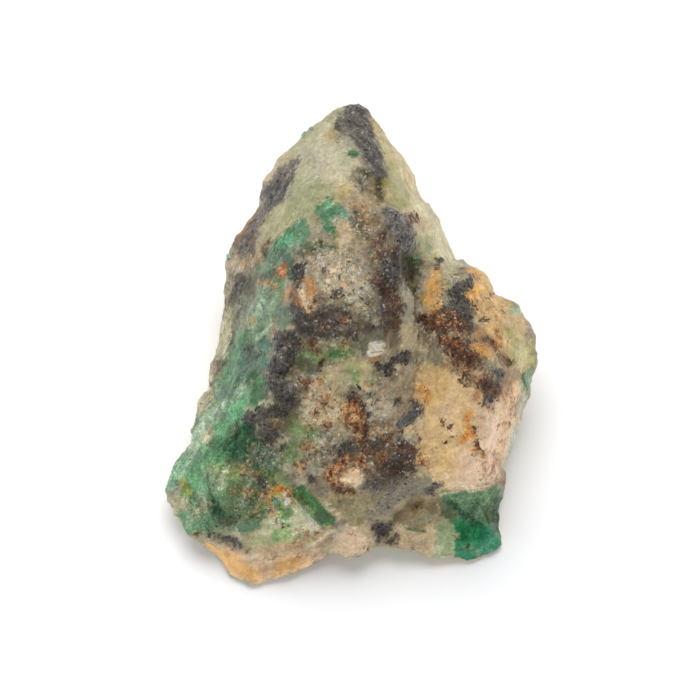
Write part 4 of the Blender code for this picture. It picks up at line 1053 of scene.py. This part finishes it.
stone = {
    "share": (0.923, 0.886, 0.872),         # of a tone's light that the stone gives back, less the gloss
    "black": 0.012, "darkest": 0.006,       # taken off every tone, and what the darkest keep
    # noise: metres across, detail, roughness, seed
    "noise": {
        "patch": (0.0026, 4, 0.6, 11.0), "crumb": (0.0009, 10, 0.8, 12.0), "pit": (0.0009, 6, 0.6, 12.0),
        "grit": (0.00024, 6, 0.7, 16.0), "fleck": (0.00055, 5, 0.7, 14.0), "pale": (0.0005, 5, 0.7, 15.0),
        "rust": (0.0005, 8, 0.78, 17.0), "ochre": (0.0006, 8, 0.78, 18.0),
        "warmth": (0.0009, 7, 0.72, 19.0),
    },
    "fibre": (0.0005, 6, 0.72, 13.0),       # the noise of the schist's grain
    "grainRuns": ((-0.62, 7.0), (0.66, 5.0)),    # on the left and right: turn, length to width
    "patchLight": (0.88, 1.12),             # the patches' darkest and lightest
    "crumbLight": (1.7, 4.9), "crumbOnSilver": 0.5,     # strength of crumbs in fine and coarse rock, and mica
    "gritLight": (2.2, 0.7),                # how strong grit is in coarse rock and beryl, and everywhere
    "fibreLight": (-0.50, 0.55), "fibreOnBeryl": 0.8,
    "facet": 0.0013, "facetBend": 1.2,      # metres across a beryl facet, and how much its edges bend
    "facetLight": (-0.34, 0.28),
    "cool": (0.85, 1.0, 1.16, 1), "warm": (1.17, 1.0, 0.80, 1),    # how patches of rock differ in hue
    "tinted": (0.3, 0.9, 0, 1.1),           # coarseness where that begins and is full, and how much it is
    # dark pores and pale grains: more where coarse, noise where they begin and are full, the most that
    # they cover and its share on beryl, and their tones on rock and on beryl
    "specks": {
        "fleck": (0.14, 0.66, 0.74, 0.8, 1.0, "332C22", "223826"),
        "pale": (0.07, 0.63, 0.69, 0.75, 0.7, "D8D3C2", "B4AF74"),
    },
    # the noise that breaks up each mineral's edge: metres across, seed, and the most that the mineral
    # hides
    "breakUp": {"grain": (0.0009, 9.0, 0.85), "mica": (0.0015, 3.0, 0.96), "rust": (0.0010, 4.0, 0.95),
                "ochre": (0.0011, 5.0, 0.75)},
    "finer": 0.45, "edgeNoise": (9, 0.74),  # its size where the rock is coarse, its detail and roughness
    "raggedness": 3.8, "onSilver": 0.55,    # how much it breaks up an edge, and its share in silvery mica
    "edgeShares": (0.8, 0.6),               # of the noise, and of the streaks that draw the edge out
    "softness": 0.36,                       # of the edge
    "leaf": 0.00024,                        # metres across a mica leaf
    "glint": (1.5, 2.6), "glintTone": "A8A298",    # how mica fibres catch the light, and single leaves
    # the minerals' tones, from noise at its darkest to its lightest
    "darkMica": ((0.30, "1C1814"), (0.5, "3D3731"), (0.68, "6C645A")),
    "silverMica": ((0.30, "3E3A34"), (0.5, "635D55"), (0.68, "877F74")),
    "quartz": ((0.35, "A09B89"), (0.62, "E2DED0")), "rockInQuartz": 0.45,
    "rust": ((0.42, "1E1511"), (0.48, "35221A"), (0.535, "5E3825"), (0.585, "915B30"), (0.635, "CF965F")),
    "ochre": ((0.42, "33211A"), (0.46, "744224"), (0.505, "B87236"), (0.55, "DAA664"), (0.61, "F2E0BA")),
    "bump": {"pit": 0.00022, "leaf": 0.00005, "grit": 0.00005, "fibre": 0.00012},    # metres
    "roughness": {"stone": 0.46, "mica": 0.38, "rust": 0.70, "beryl": 0.26},
    "leafRoughness": (-0.08, 0.10),         # how single leaves and grains differ
    "ior": 1.56,                            # quartz 1.54, beryl 1.58
    "gloss": 0.28,                          # a broken face shines less than a polished one
    "inside": 0.10, "depth": 0.0005,        # share of light that enters, and metres that it goes
    "hues": (1.0, 1.0, 0.8),                # how far it does in red, green and blue
}


def stoneNoise(add, place):
    # The stone's noises by name, from 0 to 1. The schist's grain is noise drawn out along a turned axis.
    wanted = [(name, place, *facts) for name, facts in stone["noise"].items()]
    for name, (turn, long) in zip(("leftRun", "rightRun"), stone["grainRuns"]):
        run = {"Vector": place, "Rotation": (0, 0, turn), "Scale": (1, long, 4)}
        wanted.append((name, add("Mapping", run, "TEXTURE"), *stone["fibre"]))
    for name, (size, seed, _) in stone["breakUp"].items():
        wanted.append((name + "Wide", place, size, *stone["edgeNoise"], seed))
        wanted.append((name + "Fine", place, size * stone["finer"], *stone["edgeNoise"], seed))
    found = {}
    for name, where, size, detail, rough, seed in wanted:
        facts = {"Vector": where, "W": seed, "Scale": 1 / size, "Detail": detail, "Roughness": rough}
        found[name] = add("TexNoise", facts, "4D")
    return found


def cellPick(add, place, size):
    # A number from 0 to 1 for each cell of this size in metres
    cells = add("TexVoronoi", {"Vector": place, "Scale": 1 / size}, out="Color")
    return add("SeparateColor", {"Color": cells})


def berylFacets(add, place):
    # A number for each glassy facet, whose edges noise bends
    size = stone["facet"]
    shift = add("TexNoise", {"Vector": place, "Scale": 1 / size, "Detail": 4}, out="Color")
    shift = add("VectorMath", (shift, (0.5, 0.5, 0.5)), "SUBTRACT")
    bend = (size * stone["facetBend"],) * 3
    return cellPick(add, add("VectorMath", (shift, bend, place), "MULTIPLY_ADD"), size)


def mineralShares(add, fields, noise, streak):
    # How much of the rock each mineral covers: its field plus noise and streaks about 0, sharpened at 0.5
    soft, most = stone["softness"], stone["raggedness"]
    byNoise, byStreaks = stone["edgeShares"]
    fine = add("Math", (fields["coarse"], 0.8), "MULTIPLY")
    streaks = add("Math", (streak, byStreaks, -0.5 * (byNoise + byStreaks)), "MULTIPLY_ADD")
    ragged = add("MapRange", (fields["silver"], 0, 1, most, stone["onSilver"] * most))
    shares = {}
    for name in stone["breakUp"]:
        edge = add("Mix", {"Factor": fine, "A": noise[name + "Wide"], "B": noise[name + "Fine"]})
        edge = add("Math", (edge, byNoise, streaks), "MULTIPLY_ADD")
        here = add("Math", (ragged, add("MapRange", (fields[name], 0, 0.3, 0, 1))), "MULTIPLY")
        spread = add("Math", (edge, here, fields[name]), "MULTIPLY_ADD")
        shares[name] = add("MapRange", (spread, 0.5 - soft, 0.5 + soft, 0, 1), "SMOOTHSTEP")
    return shares


def rockLight(add, fields, noise, fibre, place):
    # Light against the tone: patches, times exp(strength * noise) of crumbs and grit, times facets and
    # fibres in beryl
    patch = add("MapRange", (noise["patch"], 0.3, 0.7, *stone["patchLight"]))
    crumb = add("Math", (noise["crumb"], 0.5), "SUBTRACT")
    onRock = add("MapRange", (fields["coarse"], 0, 1, *stone["crumbLight"]))
    onSilver = add("MapRange", (fields["silver"], 0, 1, 1.0, stone["crumbOnSilver"]))
    strong = add("Math", (onRock, onSilver), "MULTIPLY")
    either = add("Math", (fields["coarse"], fields["beryl"]), "ADD")
    sharp = add("Math", (either, *stone["gritLight"]), "MULTIPLY_ADD")
    sharp = add("Math", (add("Math", (noise["grit"], -0.5), "ADD"), sharp), "MULTIPLY")
    crumb = add("Math", (crumb, strong, sharp), "MULTIPLY_ADD")
    crumb = add("Math", (crumb,), "EXPONENT")
    facet = add("MapRange", (berylFacets(add, place), 0, 1, *stone["facetLight"]))
    inBeryl = add("Math", (fields["beryl"], stone["fibreOnBeryl"]), "MULTIPLY")
    glassy = add("Math", (fibre, inBeryl, 1.0), "MULTIPLY_ADD")
    glassy = add("Math", (facet, fields["beryl"], glassy), "MULTIPLY_ADD")
    light = add("Math", (add("Math", (patch, crumb), "MULTIPLY"), glassy), "MULTIPLY")
    return light, patch, crumb


def rockBody(add, tone, light, fields, noise):
    # The tone times its light, hue and the stone's share, less the black, with the specks on it
    body = add("VectorMath", {0: tone, "Scale": light}, "SCALE")
    body = add("VectorMath", (body, stone["share"]), "MULTIPLY")
    warmth = add("MapRange", (noise["warmth"], 0.40, 0.60, 0, 1))
    hue = add("Mix", {0: warmth, 6: stone["cool"], 7: stone["warm"]}, "RGBA", out=2)
    tinted = add("MapRange", (fields["coarse"], *stone["tinted"]))
    hue = add("Mix", {0: tinted, 6: (1, 1, 1, 1), 7: hue}, "RGBA", out=2)
    body = add("VectorMath", (body, hue), "MULTIPLY")
    body = add("VectorMath", (body, (stone["black"],) * 3), "SUBTRACT")
    body = add("VectorMath", (body, (stone["darkest"],) * 3), "MAXIMUM")
    for name, (more, begin, full, most, onBeryl, rockTone, berylTone) in stone["specks"].items():
        level = add("Math", (fields["coarse"], more, noise[name]), "MULTIPLY_ADD")
        cover = add("MapRange", (level, begin, full, 0, most), "SMOOTHSTEP")
        less = add("MapRange", (fields["beryl"], 0, 1, 1.0, onBeryl), "SMOOTHSTEP")
        cover = add("Math", (cover, less), "MULTIPLY")
        speck = add("Mix", {0: fields["beryl"], 6: colour(rockTone), 7: colour(berylTone)}, "RGBA", out=2)
        body = add("Mix", {0: cover, 6: body, 7: speck}, "RGBA", out=2)
    return body


def micaTone(add, fields, noise, fibre, patch, crumb, pick):
    # Dark or silvery leaves with light drawn out in fibres, and single pale leaves that catch it
    dark = add("ValToRGB", (noise["grit"],), stops=stone["darkMica"])
    silver = add("ValToRGB", (noise["grit"],), stops=stone["silverMica"])
    mica = add("Mix", {0: fields["silver"], 6: dark, 7: silver}, "RGBA", out=2)
    glint = add("MapRange", (fields["silver"], 0, 1, *stone["glint"]))
    sheen = add("Math", (fibre, glint, patch), "MULTIPLY_ADD")
    sheen = add("Math", (sheen, crumb), "MULTIPLY")
    mica = add("VectorMath", {0: mica, "Scale": sheen}, "SCALE")
    single = add("MapRange", (pick, 0.98, 0.985, 0, 0.7), "SMOOTHSTEP")
    return add("Mix", {0: single, 6: mica, 7: colour(stone["glintTone"])}, "RGBA", out=2)


def stoneRoughness(add, fields, shares, pick):
    # The rock's roughness, then beryl's, mica's and rust's where each lies, and a little for single grains
    values = stone["roughness"]
    rough = add("MapRange", (fields["beryl"], 0.2, 0.8, values["stone"], values["beryl"]), "SMOOTHSTEP")
    for name in ("mica", "rust"):
        change = add("Math", (values[name], rough), "SUBTRACT")
        rough = add("Math", (change, shares[name], rough), "MULTIPLY_ADD")
    return add("Math", (rough, add("MapRange", (pick, 0, 1, *stone["leafRoughness"]))), "ADD")


def stoneMaterial():
    # Broken schist with quartz and beryl: chalky grains, dark leaves with a glint, dull rust, glassy green
    material, add = newMaterial("emerald_schist")
    place = add("TexCoord", out="Object")
    tone = add("Attribute", mode="tone", out="Color")
    fields = {name: add("Attribute", mode=name, out="Fac") for name in minerals}
    noise = stoneNoise(add, place)
    streak = add("Mix", {"Factor": fields["rightRun"], "A": noise["leftRun"], "B": noise["rightRun"]})
    fibre = add("MapRange", (streak, 0.3, 0.7, *stone["fibreLight"]))
    pick = cellPick(add, place, stone["leaf"])
    shares = mineralShares(add, fields, noise, streak)
    light, patch, crumb = rockLight(add, fields, noise, fibre, place)
    body = rockBody(add, tone, light, fields, noise)

    white = add("ValToRGB", (noise["grit"],), stops=stone["quartz"])
    layers = {
        "grain": add("Mix", {0: stone["rockInQuartz"], 6: white, 7: body}, "RGBA", out=2),
        "mica": micaTone(add, fields, noise, fibre, patch, crumb, pick),
        "rust": add("ValToRGB", (noise["rust"],), stops=stone["rust"]),
        "ochre": add("ValToRGB", (noise["ochre"],), stops=stone["ochre"]),
    }
    for name, layer in layers.items():
        cover = add("Math", (shares[name], stone["breakUp"][name][-1]), "MULTIPLY")
        body = add("Mix", {0: cover, 6: body, 7: layer}, "RGBA", out=2)

    rugged = add("MapRange", (fields["coarse"], 0, 0.8, 0.35, 1.0))
    silvery = add("Math", (fields["silver"], fields["mica"]), "MULTIPLY")
    heights = {"pit": (rugged, noise["pit"]), "leaf": (fields["mica"], pick),
               "grit": (rugged, noise["grit"]), "fibre": (silvery, streak)}
    normal = {}
    for name, (strength, height) in heights.items():
        facts = {"Strength": strength, "Distance": stone["bump"][name], "Height": height, **normal}
        normal = {"Normal": add("Bump", facts)}
    shader = add("BsdfPrincipled", {
        "Base Color": body, "Roughness": stoneRoughness(add, fields, shares, pick), "IOR": stone["ior"],
        "Specular IOR Level": stone["gloss"], "Subsurface Weight": stone["inside"],
        "Subsurface Radius": stone["hues"], "Subsurface Scale": stone["depth"], **normal})
    add("OutputMaterial", {"Surface": shader})
    return material


def keepPiece(piece, material):
    piece.data.materials.clear()
    piece.data.materials.append(material)
    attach(piece, "root")
    print(piece.name + ":", len(piece.data.polygons), "faces")


stoneSkin, spots = dressSkin()
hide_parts("rough_emerald")
keepPiece(stoneSkin, stoneMaterial())


# What is strewn on the skin: metres across, and as shares its thickness, how deep it is sunk, how much of
# the rock's tone it takes, how far it leans and how ragged it is
strewn = {
    "quartz_grains": {
        "count": 2200, "size": (0.00010, 0.00030), "flat": 0.8, "sunk": 0.5, "local": 0.6, "lean": 0.3,
        "ragged": 0.5, "shape": "chip", "seed": 5,
        "palette": ("CFC9B4", "BFB69C", "B0A383", "DAD6C9", "A09270", "C2A97E")},
    "rust_crumbs": {
        "count": 1200, "size": (0.00006, 0.00017), "flat": 0.8, "sunk": 0.4, "local": 0.2, "lean": 0.3,
        "ragged": 0.6, "shape": "chip", "seed": 6,
        "palette": ("5A3826", "7C4A2D", "94592F", "4A3022", "3A2A20")},
    "mica_flakes": {
        "count": 1100, "size": (0.00008, 0.00022), "flat": 0.06, "sunk": 0, "local": 0, "lean": 0.22,
        "ragged": 0.35, "shape": "plate", "seed": 7,
        "palette": ("2E2925", "3A342F", "47413B", "544D46", "625B53")},
}
finishes = {
    "quartz": {"Roughness": 0.28, "IOR": 1.54, "Specular IOR Level": 0.5,
               "Subsurface Weight": 0.25, "Subsurface Scale": 0.0002},      # pale chips with a wet look
    "iron_oxide": {"Roughness": 0.8, "IOR": 1.9, "Specular IOR Level": 0.15},    # dull earthy crumbs
    "mica": {"Roughness": 0.45, "IOR": 1.6, "Specular IOR Level": 0.25},         # dark leaves that glint
    "beryl": {"Roughness": 0.2, "IOR": 1.58, "Specular IOR Level": 0.4,
              "Subsurface Weight": 0.15, "Subsurface Scale": 0.0004},       # glassy six-sided bars
}


def hullFaces(corners):
    # The triangles of a body whose corners all lie on its hull, each turned outward
    faces = []
    for i, j, k in combinations(range(len(corners)), 3):
        across = np.cross(corners[j] - corners[i], corners[k] - corners[i])
        sides = (corners - corners[i]) @ across
        if np.all(sides < 1e-6):
            faces.append((i, j, k))
        elif np.all(sides > -1e-6):
            faces.append((i, k, j))
    return faces


def chipBody():
    # An icosahedron of radius 1: the corners of three golden rectangles that cross
    golden = (1 + 5**0.5) / 2
    ends = [(a, b * golden) for a in (-1, 1) for b in (-1, 1)]
    corners = [(0, a, b) for a, b in ends] + [(a, b, 0) for a, b in ends] + [(b, 0, a) for a, b in ends]
    corners = np.array(corners) / (1 + golden**2)**0.5
    return corners, hullFaces(corners)


def plateBody():
    # A six-sided plate or bar of radius 1, from -1 to 1 high
    hexagon = [(cos(k * pi / 3), sin(k * pi / 3)) for k in range(6)]
    corners = np.array([(x, y, z) for z in (-1, 1) for x, y in hexagon])
    faces = [(0, k + 1, k) for k in range(1, 5)] + [(6, 6 + k, 7 + k) for k in range(1, 5)]
    faces += [(k, (k + 1) % 6, 6 + (k + 1) % 6) for k in range(6)]
    return corners, faces + [(k, 6 + (k + 1) % 6, 6 + k) for k in range(6)]


bodies = {"chip": chipBody(), "plate": plateBody()}


def turned(normals, random, lean):
    # Three axes for each normal, as rows: two spun at random, and the normal leant over at random
    up = normals + lean * random.normal(size=normals.shape)
    up /= np.linalg.norm(up, axis=1)[:, None]
    side = np.cross(up, random.normal(size=normals.shape))
    side /= np.linalg.norm(side, axis=1)[:, None]
    return np.stack([side, np.cross(up, side), up], axis=1)


def scattered(name, shape, places, frames, sizes, tones, random, ragged):
    # One mesh of many small bodies: corners pushed in and out at random, sized, turned and put in place
    corners, faces = bodies[shape]
    count = len(places)
    body = corners[None] * (1 + ragged * (random.random((count, len(corners), 1)) - 0.5))
    points = np.einsum("nci,nij->ncj", body * sizes[:, None, :], frames) + places[:, None]
    points[..., 2] = np.maximum(points[..., 2], 0)
    each = np.array(faces)[None] + len(corners) * np.arange(count)[:, None, None]
    mesh = bpy.data.meshes.new(name)
    mesh.from_pydata(points.reshape(-1, 3).tolist(), [], each.reshape(-1, 3).tolist())
    keepValues(mesh, "tone", np.repeat(tones, len(corners), axis=0))
    return newPiece(name, mesh)


def strew(name, weight):
    # Bodies at skin points drawn by the weight, most of them small, in the palette's tones
    facts = strewn[name]
    count = facts["count"]
    random = np.random.default_rng(facts["seed"])
    chosen = random.choice(len(weight), count, replace=False, p=weight / weight.sum())
    low, high = facts["size"]
    wide = low + (high - low) * random.random((count, 1)) ** 2
    narrow = 0.6 + 0.4 * random.random(count)
    sizes = wide * np.column_stack([np.ones(count), narrow, np.full(count, facts["flat"])])
    frames = turned(spots["normals"][chosen], random, facts["lean"])
    places = spots["points"][chosen] - spots["normals"][chosen] * wide * facts["sunk"]
    palette = np.array([linear(code) for code in facts["palette"]])
    colours = palette[random.integers(0, len(palette), count)]
    colours += facts["local"] * (spots["tone"][chosen] - colours)
    return scattered(name, facts["shape"], places, frames, sizes, colours, random, facts["ragged"])


def grainMaterial(name, turn=0.0, drawn=1.0):
    # Small bodies in their own tone, a little mottled, or streaked where the mottling is drawn out
    material, add = newMaterial(name)
    place = add("TexCoord", out="Object")
    tone = add("Attribute", mode="tone", out="Color")
    run = add("Mapping", {"Vector": place, "Rotation": (0, 0, turn), "Scale": (1, drawn, 1)}, "TEXTURE")
    mottling = {"Vector": run, "Scale": 1 / (0.3 * mm), "Detail": 5, "Roughness": 0.7}
    light = add("MapRange", (add("TexNoise", mottling, "4D"), 0.3, 0.7, 0.55, 1.4))
    body = add("VectorMath", {0: tone, "Scale": light}, "SCALE")
    facts = {"Base Color": body, "Subsurface Radius": stone["hues"], **finishes[name]}
    add("OutputMaterial", {"Surface": add("BsdfPrincipled", facts)})
    return material


mica, rust, ochre, grain = (spots[name] for name in ("mica", "rust", "ochre", "grain"))
looseGrains = 0.14 * spots["coarse"]**2 * (1 - mica) * (1 - spots["beryl"]) * (1 - rust)
keepPiece(strew("quartz_grains", 0.7 * grain + looseGrains), grainMaterial("quartz"))
keepPiece(strew("rust_crumbs", rust**1.5 + 0.25 * ochre**2), grainMaterial("iron_oxide"))
keepPiece(strew("mica_flakes", mica**2 * (1 - rust) * (1 - ochre)), grainMaterial("mica"))

# Beryl crystals that stand out of the rock: the ends of their upper edge on the seen side, half-width in
# millimetres, how far the middle stands above the skin in half-widths, and the tone
crystals = [
    ((299, 490), (326, 522), 0.95, -0.76, "grass"), ((239, 528), (257, 524), 0.50, -0.62, "glassGreen"),
    ((349, 154), (356, 153), 0.34, -0.4, "leafDark"), ((303, 137), (307, 133), 0.28, 0.1, "cornerMint"),
    ((309, 130), (313, 127), 0.22, 0.1, "cornerMint"), ((228, 254), (230, 259), 0.26, 0.1, "cornerMint"),
    ((405, 528.5), (425, 531.5), 0.10, -0.4, "needle"), ((524, 374), (527, 388), 0.42, -0.5, "rimGreen"),
    ((222, 322), (223, 334), 0.34, -0.3, "cornerCream"),
    ((205, 392), (202, 404), 0.36, -0.3, "cornerCream"),
    ((412, 259), (417, 258), 0.26, -0.3, "grass"), ((371, 349), (382, 347), 0.62, -0.6, "whiteBlock"),
]


def skinAt(place):
    # The skin's point and normal at a place of the view: the mean of the 12 nearest that face the eye
    away = 100 * (spots["facing"] < 0.1)
    near = np.argsort(np.hypot(*(spots["sight"][:, :2] - np.array(place)).T) + away)[:12]
    normal = spots["normals"][near].mean(axis=0)
    return spots["points"][near].mean(axis=0), normal / np.linalg.norm(normal)


def buildCrystals():
    # Six-sided bars between their ends, each with a face and not an edge uppermost
    places, frames, sizes, colours = [], [], [], []
    for start, end, half, stands, name in crystals:
        (first, up), (last, other) = skinAt(start), skinAt(end)
        axis = (last - first) / np.linalg.norm(last - first)
        up = up + other - axis * ((up + other) @ axis)
        up /= np.linalg.norm(up)
        side = np.cross(axis, up)
        flat = up * cos(pi / 6) + side * sin(pi / 6)
        places.append((first + last) / 2 + up * half * mm * stands)
        frames.append((flat, np.cross(axis, flat), axis))
        sizes.append((half * mm, half * mm, np.linalg.norm(last - first) / 2))
        colours.append(linear(tones[name]))
    arrays = (np.array(values) for values in (places, frames, sizes, colours))
    return scattered("emerald_prisms", "plate", *arrays, np.random.default_rng(8), 0.12)


keepPiece(buildCrystals(), grainMaterial("beryl", 0.7, 5.0))     # streaked along the bars


def aim(thing, direction, away):
    # Places a lamp or camera away from the aim in that direction, looking at the aim
    unit = Vector(direction).normalized()
    thing.location = Vector(view["aim"]) + unit * away
    thing.rotation_euler = unit.to_track_quat("Z", "Y").to_euler()


def buildStage():
    half = room["floorSize"] / 2
    mesh = bpy.data.meshes.new("white_floor")
    corners = [(-half, -half, 0), (half, -half, 0), (half, half, 0), (-half, half, 0)]
    mesh.from_pydata(corners, [], [(0, 1, 2, 3)])
    material, add = newMaterial("white_paper")
    shader = add("BsdfPrincipled", {
        "Base Color": colour(room["floor"]), "Roughness": 0.9, "Specular IOR Level": 0.1,
        "Emission Color": (1, 1, 1, 1), "Emission Strength": room["glow"]})
    add("OutputMaterial", {"Surface": shader})
    mesh.materials.append(material)
    newPiece("white_floor", mesh)


def buildLight():
    world = bpy.data.worlds.new("white_room")
    world.use_nodes = True
    background = world.node_tree.nodes["Background"]
    background.inputs["Color"].default_value = (*room["fillTint"], 1)
    background.inputs["Strength"].default_value = room["fill"]
    bpy.context.scene.world = world

    lamp = bpy.data.lights.new("softbox", "AREA")
    lamp.shape, lamp.size, lamp.energy = "DISK", room["keySize"], room["keyPower"]
    aim(newPiece("softbox", lamp), room["keyFrom"], room["keyAway"])


def buildCamera():
    lens = bpy.data.cameras.new("photo_view")
    lens.sensor_width = view["sensor"]
    lens.lens = view["sensor"] * view["distance"] / view["width"]
    lens.clip_start = view["nearest"]
    camera = newPiece("photo_view", lens)
    aim(camera, viewBack, view["distance"])
    bpy.context.scene.camera = camera


buildStage()
buildLight()
buildCamera()
bpy.context.scene.view_settings.view_transform = "Standard"
print("stage, light and camera: done")
